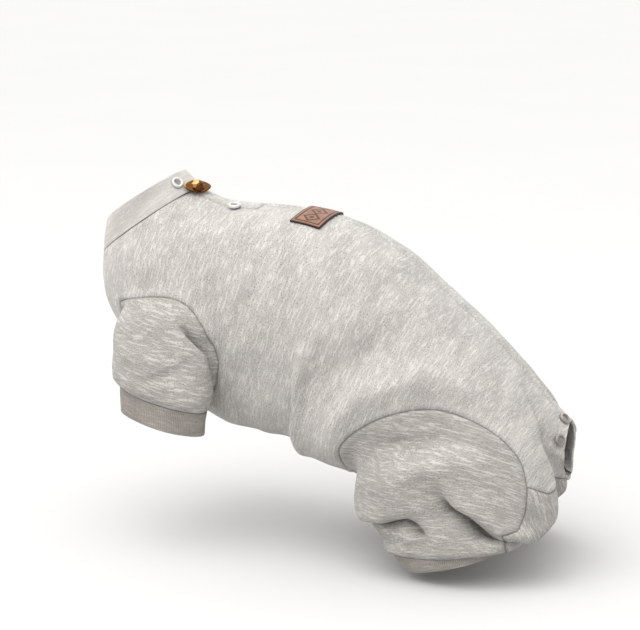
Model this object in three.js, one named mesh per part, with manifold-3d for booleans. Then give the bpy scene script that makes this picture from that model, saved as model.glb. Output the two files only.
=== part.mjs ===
// Cat bodysuit in heather sweatshirt fleece, as worn and hollow, in millimetres, +Z up.
// The wearer faces -X and its left side is -Y. The origin is the inside of the back at the withers.
import * as THREE from "three";
import { mergeVertices } from "three/addons/utils/BufferGeometryUtils.js";
import Module from "manifold-3d";

const wasm = await Module();
wasm.setup();

// ---- driving sizes ----
const WALL = 2.0; // fleece with its brushed inside
const RIB_WALL = 2.2; // folded rib
const SEAM_GAP = 0.3; // clear width left along every seam
const LIE_GAP = 0.6; // air under what lies on a panel
const SEAM_REACH = 5; // how far a sleeve or leg piece runs onto the trunk past its own tube
const COLLAR_LAP = 0.02; // radians by which the collar's left end passes the centre back
const COLLAR_UNDERLAP = 0.42; // radians of the right end that lie under the left
const COLLAR_LIFT = 2.6; // how far the lapping end stands above the end below it
const COLLAR_SETTLE = 0.6; // radians in which it comes down again
const PLACKET_WIDTH = 17;
const PLACKET_LENGTH = 56;
const PLACKET_FRONT = 0.12; // where the placket starts, in trunk rows
const PLACKET_PAST = 0.03; // radians by which it passes the centre back
const PATCH_LENGTH = 24; // along the back
const PATCH_WIDTH = 46; // across the back
const PATCH_THICK = 1.6;
const PATCH_FRONT = 4.5; // where the patch starts, in trunk rows
const PATCH_LEAN = 0.54; // share of its width that lies left of the centre back
const SNAP_RADIUS = 4.6;
const SNAP_HEIGHT = 2.2;
const CHARM_LENGTH = 19;
const CHARM_WIDTH = 11;
const CHARM_PLATE = 1.2; // thickness of the charm's plate
const CHARM_DOME = 4; // height of its dome above the plate

// ---- how finely the forms are stepped ----
const TRUNK_STEPS = 18;
const TRUNK_SIDES = 20;
const LIMB_SIDES = 16;
const COLLAR_STEPS = 28;
const OVERRUN = 14; // how far an inner volume runs out of an open end
const LEG_OVERRUN = 60; // how far a limb's own region runs past its hem
const BEYOND = 300; // farther than any part of the suit, for the cutting solids
const BACK_DROP = 4.4; // the tables' zero lies this far above the inside of the back at the withers

const LEFT = -1;
const RIGHT = 1;

// A table has named columns and one row for each section.
function table(columns, rows) {
  const names = columns.split(" ");
  return rows.map((row) => Object.fromEntries(names.map((name, i) => [name, row[i]])));
}

// Trunk sections from the collar seam to the tail opening. Each lies on a chord from the centre back
// to the centre belly. "widest" is how far down the chord the half width is reached.
const TRUNK = table("backX backZ bellyX bellyZ half widest roundTop roundBelly", [
  [-38, 8, -117, -47, 38, 0.5, 2.0, 2.0],
  [-22, 1, -117, -66, 47, 0.52, 2.0, 2.0],
  [-5, -2, -111, -88, 54, 0.54, 2.0, 2.0],
  [18, -3, -95, -114, 57, 0.54, 2.1, 2.0],
  [43, -4, -67, -143, 59, 0.54, 2.2, 2.0],
  [70, -8, -30, -168, 61, 0.54, 2.3, 2.0],
  [97, -15, 10, -182, 64, 0.56, 2.3, 2.2],
  [124, -29, 50, -190, 69, 0.58, 2.3, 2.6],
  [151, -50, 90, -199, 73, 0.6, 2.2, 2.7],
  [177, -72, 132, -204, 75, 0.62, 2.1, 2.5],
  [206, -98, 176, -205, 70, 0.6, 2.0, 2.3],
  [230, -123, 214, -204, 57, 0.56, 2.0, 2.1],
  [247, -141, 242, -202, 38, 0.52, 2.0, 2.0],
  [260, -153, 260, -197, 16, 0.5, 2.0, 2.0],
]);
// The rib collar, from its seam up to its free edge.
const COLLAR = table("backX backZ bellyX bellyZ half widest roundTop roundBelly", [
  [-38.3, 8.4, -117.2, -46.6, 37, 0.5, 2.0, 2.0],
  [-46, 14, -116, -33, 35.5, 0.5, 2.0, 2.0],
  [-53, 20, -113, -20, 35, 0.5, 2.0, 2.0],
]);

// Limb sections from inside the trunk down to the hem. "long" is the half size fore and aft,
// "wide" the half size across, "tilt" lowers the rear of the section, in degrees. "y" counts outwards.
const HAUNCH = table("x y z long wide tilt splay", [
  [176, 38, -130, 38, 20, 0, 12],
  [174, 46, -144, 56, 29, 0, 12],
  [178, 48, -161, 67, 35, 0, 12],
  [182, 49, -181, 73, 38, 0, 12],
  [186, 50, -200, 75, 39, 0, 12],
  [187, 51, -215, 75, 38, 0, 12],
  [190, 54, -225, 70, 36, -3, 10],
  [194, 57, -231, 60, 32, -4, 8],
  [190, 60, -237, 56, 29, -5, 8],
  [188, 62, -241, 44.5, 24.5, -6, 6],
]);
const HIND_CUFF = table("x y z long wide tilt splay", [
  [187, 62, -241.4, 44, 24, -6, 6],
  [188, 63, -246, 39, 22.5, -12, 6],
  [190, 64, -249, 35, 21, -16, 6],
]);
const RIGHT_LEG_SHIFT = -12; // the right hind leg is drawn up a little further forward
const LEFT_ARM = table("x y z long wide tilt splay", [
  [-36, 44, -66, 22, 12, 10, 0],
  [-41, 52, -80, 35, 20, 10, 0],
  [-43, 60, -98, 40, 24, 10, 0],
  [-42, 65, -116, 41, 24, 11, 0],
  [-42, 67, -132, 41, 24, 12, 0],
  [-41, 67, -140, 36.5, 20.5, 13, 0],
]);
const LEFT_CUFF = table("x y z long wide tilt splay", [
  [-41, 67, -140.4, 36, 20, 13, 0],
  [-42, 67, -151, 35, 19.5, 13, 0],
  [-42, 67, -162, 34.5, 19.5, 13, 0],
]);
const RIGHT_ARM = table("x y z long wide tilt splay", [
  [-34, 44, -66, 22, 12, 10, 0],
  [-35, 52, -80, 34, 20, 10, 0],
  [-35, 60, -98, 40, 24, 8, 0],
  [-32, 65, -116, 42, 24, 6, 0],
  [-28, 67, -133, 42, 24, 5, 0],
  [-24, 67, -141, 36.5, 20.5, 5, 0],
]);
const RIGHT_CUFF = table("x y z long wide tilt splay", [
  [-24, 67, -141.4, 36, 20, 5, 0],
  [-20, 67, -152, 34.5, 19.5, 4, 0],
  [-16, 67, -163, 34, 19.5, 3, 0],
]);

// Seams as seen square on from the side, as x and z.
const ARM_SEAM = table("x z", [
  [-112, -116], [-101, -90], [-84, -76], [-62, -69], [-38, -68], [-22, -74], [-11, -86], [-4, -102],
  [0, -118], [4, -142], [6, -200], [-112, -200],
]);
const LEG_SEAM = table("x z", [
  [104, -194], [97, -184], [100, -173], [113, -158], [134, -144], [157, -136], [178, -134.5],
  [199, -140], [220, -151], [236, -167], [243, -185], [244, -204], [240, -218],
  [229, -222], [231, -232], [231, -262], [92, -262],
]);
const ARM_SEAM_CORNERS = 3;
const LEG_SEAM_CORNERS = 4;
const SEAT_SEAM = table("x z", [
  [104, -190], [200, -186], [236, -184], [248, -190], [256, -195], [290, -199],
]);

// ---- curves through table rows ----
function catmull(a, b, c, d, t) {
  const bend = 2 * a - 5 * b + 4 * c - d;
  const twist = 3 * b - a - 3 * c + d;
  return 0.5 * (2 * b + (c - a) * t + bend * t * t + twist * t * t * t);
}

// The row of a table at a fractional place, every column smoothed through its neighbours.
function rowAt(rows, place) {
  const last = rows.length - 1;
  const i = Math.min(Math.max(Math.floor(place), 0), last - 1);
  const at = (k) => rows[Math.min(Math.max(k, 0), last)];
  const mix = {};
  for (const name of Object.keys(rows[0])) {
    mix[name] = catmull(at(i - 1)[name], at(i)[name], at(i + 1)[name], at(i + 2)[name], place - i);
  }
  return mix;
}

// A point of the trunk or collar: place counts table rows, turn is 0 at the centre back, positive to
// the left and PI at the belly, and lift moves it outwards.
function sectionPoint(rows, place, turn, lift) {
  const row = rowAt(rows, place);
  const back = new THREE.Vector3(row.backX, 0, row.backZ);
  const chord = new THREE.Vector3(row.bellyX, 0, row.bellyZ).sub(back);
  const depth = chord.length();
  chord.normalize();
  const down = Math.abs(Math.cos(turn));
  const out = Math.sin(turn);
  const upper = Math.cos(turn) > 0;
  const round = 2 / (upper ? row.roundTop : row.roundBelly);
  const reach = upper ? row.widest * depth : (1 - row.widest) * depth;
  const drop = (reach + lift) * Math.pow(down, round);
  const side = -Math.sign(out) * (row.half + lift) * Math.pow(Math.abs(out), round);
  return back.addScaledVector(chord, row.widest * depth + (upper ? -drop : drop)).setY(side);
}

// A ring of a limb at a table row. side is -1 on the left and 1 on the right.
function limbPoint(row, side, turn, lift) {
  const tilt = THREE.MathUtils.degToRad(row.tilt);
  const splay = THREE.MathUtils.degToRad(row.splay);
  const fore = (row.long + lift) * Math.cos(turn);
  const across = (row.wide + lift) * Math.sin(turn);
  const level = fore * Math.cos(tilt);
  const x = row.x + level * Math.cos(splay) + across * Math.sin(splay);
  const y = row.y + across * Math.cos(splay) - level * Math.sin(splay);
  return new THREE.Vector3(x, side * y, row.z - fore * Math.sin(tilt));
}

// ---- closed meshes ----
function volumeOf(positions, index) {
  const corner = [new THREE.Vector3(), new THREE.Vector3(), new THREE.Vector3()];
  let sum = 0;
  for (let i = 0; i < index.length; i += 3) {
    corner.forEach((point, k) => point.fromArray(positions, 3 * index[i + k]));
    sum += corner[0].dot(corner[1].clone().cross(corner[2]));
  }
  return sum / 6;
}

// A closed geometry from points and triangles, turned so that its faces point out.
function closed(points, index) {
  const positions = points.flatMap((point) => point.toArray());
  const faces = volumeOf(positions, index) < 0 ? index.slice().reverse() : index;
  const geometry = new THREE.BufferGeometry();
  geometry.setAttribute("position", new THREE.Float32BufferAttribute(positions, 3));
  geometry.setIndex(faces);
  return geometry;
}

// Rings of equal count skinned to a closed form, with a flat fan over each end.
function skin(rings) {
  const sides = rings[0].length;
  const points = rings.flat();
  const index = [];
  for (let r = 0; r + 1 < rings.length; r += 1) {
    for (let s = 0; s < sides; s += 1) {
      const a = r * sides + s;
      const b = r * sides + ((s + 1) % sides);
      index.push(a, b, a + sides, b, b + sides, a + sides);
    }
  }
  for (const [ring, flip] of [[0, true], [rings.length - 1, false]]) {
    const centre = new THREE.Vector3();
    rings[ring].forEach((point) => centre.addScaledVector(point, 1 / sides));
    const hub = points.push(centre) - 1;
    for (let s = 0; s < sides; s += 1) {
      const a = ring * sides + s;
      const b = ring * sides + ((s + 1) % sides);
      index.push(...(flip ? [b, a, hub] : [a, b, hub]));
    }
  }
  return closed(points, index);
}

// A plate from a surface(across, along, lift) function, with both values running from 0 to 1.
function plate(surface, acrossSteps, alongSteps, low, high) {
  const points = [];
  const index = [];
  const columns = acrossSteps + 1;
  const layer = columns * (alongSteps + 1);
  for (const lift of [low, high]) {
    for (let j = 0; j <= alongSteps; j += 1) {
      for (let i = 0; i <= acrossSteps; i += 1) {
        points.push(surface(i / acrossSteps, j / alongSteps, lift));
      }
    }
  }
  const quad = (a, b, c, d) => index.push(a, b, c, a, c, d);
  for (let j = 0; j < alongSteps; j += 1) {
    for (let i = 0; i < acrossSteps; i += 1) {
      const a = j * columns + i;
      quad(a, a + columns, a + columns + 1, a + 1);
      quad(layer + a, layer + a + 1, layer + a + columns + 1, layer + a + columns);
    }
  }
  const edge = (a, b) => quad(a, b, b + layer, a + layer);
  for (let i = 0; i < acrossSteps; i += 1) {
    edge(i, i + 1);
    edge(alongSteps * columns + i + 1, alongSteps * columns + i);
  }
  for (let j = 0; j < alongSteps; j += 1) {
    edge((j + 1) * columns, j * columns);
    edge(j * columns + acrossSteps, (j + 1) * columns + acrossSteps);
  }
  return closed(points, index);
}

function solid(geometry) {
  geometry.deleteAttribute("normal");
  geometry.deleteAttribute("uv");
  const merged = mergeVertices(geometry, 1e-4);
  const vertProperties = new Float32Array(merged.attributes.position.array);
  const triVerts = new Uint32Array(merged.index.array);
  return new wasm.Manifold(new wasm.Mesh({ numProp: 3, vertProperties, triVerts }));
}

function geometryOf(manifold) {
  const mesh = manifold.getMesh();
  const geometry = new THREE.BufferGeometry();
  geometry.setAttribute("position", new THREE.Float32BufferAttribute(mesh.vertProperties, 3));
  geometry.setIndex(Array.from(mesh.triVerts));
  return geometry;
}

const union = (parts) => parts.reduce((whole, part) => whole.add(part));

// ---- volumes ----
// The trunk, moved out by lift, run past its two open ends by over.
function trunkVolume(lift, over) {
  const last = TRUNK.length - 1;
  const rings = [];
  for (let i = 0; i <= TRUNK_STEPS; i += 1) {
    rings.push(ringOf((turn) => sectionPoint(TRUNK, (last * i) / TRUNK_STEPS, turn, lift), TRUNK_SIDES));
  }
  if (over > 0) {
    rings.unshift(pushed(rings[0], rings[1], over));
    rings.push(pushed(rings[rings.length - 1], rings[rings.length - 2], over));
  }
  return solid(skin(rings));
}

function ringOf(pointAt, sides) {
  return Array.from({ length: sides }, (_, s) => pointAt((2 * Math.PI * s) / sides));
}

// A copy of a ring moved straight on, away from the ring before it.
function pushed(ring, before, distance) {
  const middle = (points) => {
    const sum = points.reduce((total, point) => total.add(point), new THREE.Vector3());
    return sum.multiplyScalar(1 / points.length);
  };
  const way = middle(ring).sub(middle(before)).normalize();
  return ring.map((point) => point.clone().addScaledVector(way, distance));
}

// A limb tube. over carries its hem end on past the seam.
function limbVolume(rows, side, lift, over) {
  const rings = rows.map((row) => ringOf((turn) => limbPoint(row, side, turn, lift), LIMB_SIDES));
  if (over > 0) {
    rings.push(pushed(rings[rings.length - 1], rings[rings.length - 2], over));
  }
  return solid(skin(rings));
}

// A side-on outline drawn out across the suit, from y = 0 to the left.
function sideways(outline) {
  const shape = new THREE.Shape(outline);
  return new THREE.ExtrudeGeometry(shape, { depth: BEYOND, bevelEnabled: false }).rotateX(Math.PI / 2);
}

// A side-on outline cut through one side of the suit. The last corners stay sharp.
function outlineCutter(rows, corners, side, grow) {
  const smooth = rows.slice(0, rows.length - corners).map((row) => new THREE.Vector2(row.x, row.z));
  const sharp = rows.slice(rows.length - corners).map((row) => new THREE.Vector2(row.x, row.z));
  const outline = [...new THREE.SplineCurve(smooth).getPoints(2 * smooth.length), ...sharp];
  const count = outline.length;
  const grown = outline.map((point, i) => {
    const along = outline[(i + 1) % count].clone().sub(outline[(i + count - 1) % count]).normalize();
    return new THREE.Vector2(point.x - along.y * grow, point.y + along.x * grow);
  });
  return solid(sideways(grown).translate(0, side === RIGHT ? BEYOND : 0, 0));
}

// The stretch of the suit that belongs to one limb: inside its side-on seam and near its tube.
function limbRegion(seam, corners, rows, side, grow) {
  const near = limbVolume(rows, side, SEAM_REACH + grow, LEG_OVERRUN);
  return outlineCutter(seam, corners, side, grow).intersect(near);
}

// Everything below the seam between the flank and the seat.
function seatRegion(grow) {
  const line = SEAT_SEAM.map((row) => new THREE.Vector2(row.x, row.z + grow));
  line[0].x -= grow;
  const rear = line[line.length - 1].x;
  const outline = [...line, new THREE.Vector2(rear, -BEYOND), new THREE.Vector2(line[0].x, -BEYOND)];
  return solid(sideways(outline).translate(0, BEYOND / 2, 0));
}

function halfSpace(side) {
  const box = new THREE.BoxGeometry(2 * BEYOND, BEYOND, 2 * BEYOND);
  box.translate(0, (side * (BEYOND + SEAM_GAP)) / 2, 0);
  return solid(box);
}

// ---- the shell and its pieces ----
const moved = (rows, shift) => rows.map((row) => ({ ...row, x: row.x + shift }));
const RIGHT_LEG_SEAM = moved(LEG_SEAM, RIGHT_LEG_SHIFT);
const RIGHT_HAUNCH = moved(HAUNCH, RIGHT_LEG_SHIFT);
const LIMBS = [
  { name: "sleeve_left", rows: LEFT_ARM, side: LEFT, seam: ARM_SEAM, corners: ARM_SEAM_CORNERS },
  { name: "sleeve_right", rows: RIGHT_ARM, side: RIGHT, seam: ARM_SEAM, corners: ARM_SEAM_CORNERS },
  { name: "leg_left", rows: HAUNCH, side: LEFT, seam: LEG_SEAM, corners: LEG_SEAM_CORNERS },
  { name: "leg_right", rows: RIGHT_HAUNCH, side: RIGHT, seam: RIGHT_LEG_SEAM, corners: LEG_SEAM_CORNERS },
];
const CUFFS = [
  { name: "cuff_fore_left", rows: LEFT_CUFF, side: LEFT },
  { name: "cuff_fore_right", rows: RIGHT_CUFF, side: RIGHT },
  { name: "cuff_hind_left", rows: HIND_CUFF, side: LEFT },
  { name: "cuff_hind_right", rows: moved(HIND_CUFF, RIGHT_LEG_SHIFT), side: RIGHT },
];

const suit = new THREE.Group();
suit.position.z = BACK_DROP;
const FLEECE = { color: 0xcfccc6, roughness: 0.95, metalness: 0 };
const RIB = { color: 0xc2beb4, roughness: 0.95, metalness: 0 };
const PEARL = { color: 0xe9e6e0, roughness: 0.35, metalness: 0 };
const LEATHER = { color: 0x9a5a40, roughness: 0.6, metalness: 0 };
const BRASS = { color: 0xb9853a, roughness: 0.3, metalness: 1 };

function addPiece(name, geometry, finish) {
  geometry.computeVertexNormals();
  const mesh = new THREE.Mesh(geometry, new THREE.MeshStandardMaterial(finish));
  mesh.name = name;
  suit.add(mesh);
  return mesh;
}

const outer = union([trunkVolume(0, 0), ...LIMBS.map((limb) => limbVolume(limb.rows, limb.side, 0, 0))]);
const inner = union([
  trunkVolume(-WALL, OVERRUN),
  ...LIMBS.map((limb) => limbVolume(limb.rows, limb.side, -WALL, OVERRUN)),
]);
const shell = outer.subtract(inner);

let rest = shell;
for (const limb of LIMBS) {
  const region = (grow) => limbRegion(limb.seam, limb.corners, limb.rows, limb.side, grow);
  addPiece(limb.name, geometryOf(shell.intersect(region(-SEAM_GAP / 2))), FLEECE);
  rest = rest.subtract(region(SEAM_GAP / 2));
}
addPiece("seat_gusset", geometryOf(rest.intersect(seatRegion(-SEAM_GAP / 2))), FLEECE);
const trunk = rest.subtract(seatRegion(SEAM_GAP / 2));
addPiece("body_left", geometryOf(trunk.intersect(halfSpace(LEFT))), FLEECE);
addPiece("body_right", geometryOf(trunk.intersect(halfSpace(RIGHT))), FLEECE);

for (const cuff of CUFFS) {
  const tube = limbVolume(cuff.rows, cuff.side, 0, 0);
  const inside = (row) => ringOf((turn) => limbPoint(row, cuff.side, turn, -RIB_WALL), LIMB_SIDES);
  const rings = cuff.rows.map(inside);
  const first = pushed(rings[0], rings[1], OVERRUN);
  const last = pushed(rings[rings.length - 1], rings[rings.length - 2], OVERRUN);
  const bore = solid(skin([first, ...rings, last]));
  addPiece(cuff.name, geometryOf(tube.subtract(bore)), RIB);
}

// ---- collar ----
// The strip starts at its left end, past the centre back on the right, runs down the left side and
// round under the throat, and its right end stops under the start.
function collarPoint(along, height, lift) {
  const turn = THREE.MathUtils.lerp(-COLLAR_LAP, 2 * Math.PI + COLLAR_UNDERLAP, along);
  const settled = COLLAR_UNDERLAP + COLLAR_SETTLE;
  const rise = COLLAR_LIFT * (1 - THREE.MathUtils.smoothstep(turn, COLLAR_UNDERLAP, settled));
  return sectionPoint(COLLAR, height * (COLLAR.length - 1), turn, lift + rise);
}
addPiece("collar", plate(collarPoint, COLLAR_STEPS, 2, -RIB_WALL, 0), RIB);

// ---- what lies on the back ----
// The place reached by walking a distance rearwards along the centre back.
function placeAfter(start, distance) {
  const step = 0.01;
  let place = start;
  let walked = 0;
  while (walked < distance) {
    walked += sectionPoint(TRUNK, place, 0, 0).distanceTo(sectionPoint(TRUNK, place + step, 0, 0));
    place += step;
  }
  return place;
}

// The turn reached by walking a distance round a section from the centre back.
function turnAcross(place, distance) {
  const step = 0.005;
  let turn = 0;
  let walked = 0;
  while (walked < distance) {
    walked += sectionPoint(TRUNK, place, turn, 0).distanceTo(sectionPoint(TRUNK, place, turn + step, 0));
    turn += step;
  }
  return turn;
}

const placketEnd = placeAfter(PLACKET_FRONT, PLACKET_LENGTH);
const placketSpan = {
  from: PLACKET_FRONT,
  to: placketEnd,
  right: -PLACKET_PAST,
  left: turnAcross(placketEnd, PLACKET_WIDTH) - PLACKET_PAST,
};
function onTrunk(span) {
  return (across, along, lift) => sectionPoint(
    TRUNK,
    THREE.MathUtils.lerp(span.from, span.to, along),
    THREE.MathUtils.lerp(span.right, span.left, across),
    lift,
  );
}
addPiece("back_placket", plate(onTrunk(placketSpan), 2, 5, LIE_GAP, LIE_GAP + WALL), FLEECE);

const patchSpan = {
  from: PATCH_FRONT,
  to: placeAfter(PATCH_FRONT, PATCH_LENGTH),
  right: -turnAcross(PATCH_FRONT, PATCH_WIDTH * (1 - PATCH_LEAN)),
  left: turnAcross(PATCH_FRONT, PATCH_WIDTH * PATCH_LEAN),
};
addPiece("leather_patch", plate(onTrunk(patchSpan), 8, 3, LIE_GAP, LIE_GAP + PATCH_THICK), LEATHER);

// ---- snaps and charm ----
// The outward direction of a table's surface.
function outward(rows, place, turn) {
  const step = 0.01;
  const at = (a, b, lift) => sectionPoint(rows, a, b, lift);
  const alongRows = at(place + step, turn, 0).sub(at(place - step, turn, 0));
  const alongTurn = at(place, turn + step, 0).sub(at(place, turn - step, 0));
  const normal = alongTurn.cross(alongRows).normalize();
  const away = at(place, turn, 1).sub(at(place, turn, 0));
  return normal.dot(away) < 0 ? normal.negate() : normal;
}

// Sets a piece modelled about +Z above a table's surface. on is the lift of the cloth that carries it.
function seat(mesh, spot) {
  const normal = outward(spot.rows, spot.place, spot.turn);
  const foot = sectionPoint(spot.rows, spot.place, spot.turn, spot.on);
  mesh.quaternion.setFromUnitVectors(new THREE.Vector3(0, 0, 1), normal);
  mesh.rotateZ(spot.spin ?? 0);
  mesh.position.copy(foot.addScaledVector(normal, spot.gap ?? LIE_GAP));
}

// A ring snap: a rounded rim round a sunk middle.
function snapGeometry() {
  const r = SNAP_RADIUS;
  const profile = [
    [0, 0], [r, 0], [r, 0.35 * SNAP_HEIGHT], [0.88 * r, 0.8 * SNAP_HEIGHT], [0.7 * r, SNAP_HEIGHT],
    [0.52 * r, 0.8 * SNAP_HEIGHT], [0.45 * r, 0.5 * SNAP_HEIGHT], [0, 0.5 * SNAP_HEIGHT],
  ].map(([x, y]) => new THREE.Vector2(x, y));
  return new THREE.LatheGeometry(profile, 8).rotateX(Math.PI / 2);
}

const placketTop = LIE_GAP + WALL;
const SNAPS = [
  { name: "snap_collar", rows: COLLAR, place: 1.05, turn: 0.42, on: COLLAR_LIFT },
  { name: "snap_placket", rows: TRUNK, place: 2.02, turn: 0.18, on: placketTop },
  { name: "snap_tail_top", rows: TRUNK, place: 12.45, turn: 0.36, on: 0 },
  { name: "snap_tail_left", rows: TRUNK, place: 12.5, turn: 1.1, on: 0 },
  { name: "snap_tail_right", rows: TRUNK, place: 12.5, turn: -1.1, on: 0 },
];
for (const snap of SNAPS) {
  seat(addPiece(snap.name, snapGeometry(), PEARL), snap);
}

// A faceted dome on a plate drawn out to two points.
const CHARM_SPOT = { rows: TRUNK, place: 0.34, turn: 0.2, on: placketTop, gap: 1.6, spin: -0.25 };
function charmGeometry() {
  const half = CHARM_LENGTH / 2;
  const side = CHARM_WIDTH / 2;
  const outline = new THREE.Shape();
  outline.moveTo(-half, 0);
  outline.quadraticCurveTo(-0.35 * half, -side, 0, -side);
  outline.quadraticCurveTo(0.35 * half, -side, half, 0);
  outline.quadraticCurveTo(0.35 * half, side, 0, side);
  outline.quadraticCurveTo(-0.35 * half, side, -half, 0);
  const cut = { depth: CHARM_PLATE, bevelEnabled: false, curveSegments: 4 };
  const base = new THREE.ExtrudeGeometry(outline, cut);
  const foot = CHARM_PLATE / 2;
  const at = (share) => CHARM_PLATE + share * CHARM_DOME;
  const dome = [[0, foot], [side, foot], [side, at(0.15)], [0.72 * side, at(0.65)], [0, at(1)]];
  const profile = dome.map(([x, y]) => new THREE.Vector2(x, y));
  const facets = new THREE.LatheGeometry(profile, 8).rotateX(Math.PI / 2);
  return geometryOf(solid(base).add(solid(facets)));
}
seat(addPiece("brass_charm", charmGeometry(), BRASS), CHARM_SPOT);

export default suit;
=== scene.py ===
"""Cat bodysuit in heather sweatshirt fleece: its looks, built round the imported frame.

Lengths in the tables are millimetres in the suit's own axes: the wearer faces -X, its left side is
-Y and +Z is up. Everything is moved by BACK_DROP and scaled to metres when it becomes a mesh.
"""
import math

import bmesh
import bpy
import numpy as np
from mathutils import Matrix, Vector, kdtree, noise
from mathutils.bvhtree import BVHTree


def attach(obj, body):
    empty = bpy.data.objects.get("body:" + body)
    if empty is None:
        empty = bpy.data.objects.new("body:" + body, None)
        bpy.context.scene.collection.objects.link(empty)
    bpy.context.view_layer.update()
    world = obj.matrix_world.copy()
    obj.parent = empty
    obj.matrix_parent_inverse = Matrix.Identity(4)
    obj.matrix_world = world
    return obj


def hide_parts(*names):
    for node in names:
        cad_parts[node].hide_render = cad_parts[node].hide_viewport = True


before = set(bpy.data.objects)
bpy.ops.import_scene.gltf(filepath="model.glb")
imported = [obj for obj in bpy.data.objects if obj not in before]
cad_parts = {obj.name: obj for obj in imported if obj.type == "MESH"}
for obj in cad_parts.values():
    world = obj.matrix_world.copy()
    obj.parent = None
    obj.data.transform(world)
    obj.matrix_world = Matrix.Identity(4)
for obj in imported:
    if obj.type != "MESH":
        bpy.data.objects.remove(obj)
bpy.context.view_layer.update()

MM = 0.001
BACK_DROP = 4.4  # the tables' zero lies this far above the inside of the back at the withers
LEFT, RIGHT = -1, 1
CELL = 1.55  # spacing of the points of the sewn skin
FLEECE_WALL = 1.7
RIB_WALL = 2.2
SEAM_REACH = 11  # how far a leg panel runs onto the trunk past its own tube
ARM_REACH = (-118, -92), (3.2, 11)  # heights on a sleeve, and how far its panel runs on there
HEM_REACH = 4  # how far outside a limb's tube its hem still cuts the cloth
OVERRUN = 7  # how far a tube is first drawn past an open end, before it is cut there
HEMS_BELOW, HEMS_FORE_OF = -120, 245  # the limbs' hems lie below and ahead of here
TAIL_HALF_WIDTH, TAIL_BELOW_SEAT = 24, 3  # the tail opening, from the middle and down
RIB_PITCH, RIB_DEPTH, RIB_STEPS = 1.2, 0.2, 6  # one rib's width, half its height, its points
COLLAR_LAP, COLLAR_UNDERLAP = 0.02, 0.42  # radians past the centre back of the two ends
COLLAR_LIFT, COLLAR_SETTLE, COLLAR_WIDTH = 2.6, 0.6, 22  # the lap's rise and where it ends
PLACKET_SIZE, PLACKET_FRONT, PLACKET_PAST = (56, 17), 0.12, 0.03
PATCH_SIZE, PATCH_FRONT, PATCH_SHARE_LEFT = (24, 46), 4.29, 0.58

# ---- the cut of the suit ----


def table(columns, rows):
    """Rows with named columns, kept as one array for each column."""
    return dict(zip(columns.split(), np.array(rows, float).T))


SECTION = "backX backZ bellyX bellyZ half widest roundTop roundBelly"
TRUNK = table(SECTION, [
    [-38, 8, -117, -47, 38, 0.5, 2.0, 2.0],
    [-22, 1, -117, -66, 47, 0.52, 2.0, 2.0],
    [-5, -2, -111, -88, 54, 0.54, 2.0, 2.0],
    [18, -3, -95, -114, 57, 0.54, 2.1, 2.0],
    [43, -4, -67, -143, 59, 0.54, 2.2, 2.0],
    [70, -8, -30, -168, 61, 0.54, 2.3, 2.0],
    [97, -15, 10, -182, 64, 0.56, 2.3, 2.2],
    [124, -29, 50, -190, 69, 0.58, 2.3, 2.6],
    [151, -50, 90, -199, 73, 0.6, 2.2, 2.7],
    [177, -72, 132, -204, 75, 0.62, 2.1, 2.5],
    [206, -98, 176, -205, 70, 0.6, 2.0, 2.3],
    [230, -123, 214, -204, 57, 0.56, 2.0, 2.1],
    [247, -141, 242, -202, 38, 0.52, 2.0, 2.0],
    [260, -153, 260, -197, 16, 0.5, 2.0, 2.0],
])
COLLAR = table(SECTION, [
    [-38.3, 8.4, -117.2, -46.6, 37, 0.5, 2.0, 2.0],
    [-46, 14, -116, -33, 35.5, 0.5, 2.0, 2.0],
    [-53, 20, -113, -20, 35, 0.5, 2.0, 2.0],
])
TUBE = "x y z long wide tilt splay"
HAUNCH = table(TUBE, [
    [176, 38, -130, 38, 20, 0, 12],
    [174, 46, -144, 56, 29, 0, 12],
    [178, 48, -161, 67, 35, 0, 12],
    [182, 49, -181, 73, 38, 0, 12],
    [186, 50, -200, 75, 39, 0, 12],
    [187, 51, -215, 75, 38, 0, 12],
    [190, 54, -225, 70, 36, -3, 10],
    [194, 57, -231, 60, 32, -4, 8],
    [190, 60, -237, 56, 29, -5, 8],
    [188, 62, -241, 44.5, 24.5, -6, 6],
])
HIND_CUFF = table(TUBE, [
    [187, 62, -241.4, 44, 24, -6, 6],
    [188, 63, -246, 39, 22.5, -12, 6],
    [190, 64, -249, 35, 21, -16, 6],
])
RIGHT_LEG_SHIFT = -12
LEFT_ARM = table(TUBE, [
    [-36, 44, -66, 22, 12, 10, 0],
    [-41, 52, -80, 35, 20, 10, 0],
    [-43, 60, -98, 40, 24, 10, 0],
    [-42, 65, -116, 41, 24, 11, 0],
    [-42, 67, -136, 41.5, 24.5, 13, 0],
    [-41, 67, -144.5, 36.5, 20.5, 14, 0],
])
LEFT_CUFF = table(TUBE, [
    [-41, 67, -144.9, 36, 20, 14, 0],
    [-42, 67, -154, 35, 19.5, 13, 0],
    [-42, 67, -164, 34.5, 19.5, 13, 0],
])
RIGHT_ARM = table(TUBE, [
    [-34, 44, -66, 22, 12, 10, 0],
    [-35, 52, -80, 34, 20, 10, 0],
    [-35, 60, -98, 40, 24, 8, 0],
    [-32, 65, -116, 42, 24, 6, 0],
    [-28, 67, -136, 42, 24, 5, 0],
    [-24, 67, -144.5, 36.5, 20.5, 5, 0],
])
RIGHT_CUFF = table(TUBE, [
    [-24, 67, -144.9, 36, 20, 5, 0],
    [-20, 67, -154, 34.5, 19.5, 4, 0],
    [-16, 67, -164, 34, 19.5, 3, 0],
])
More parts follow.
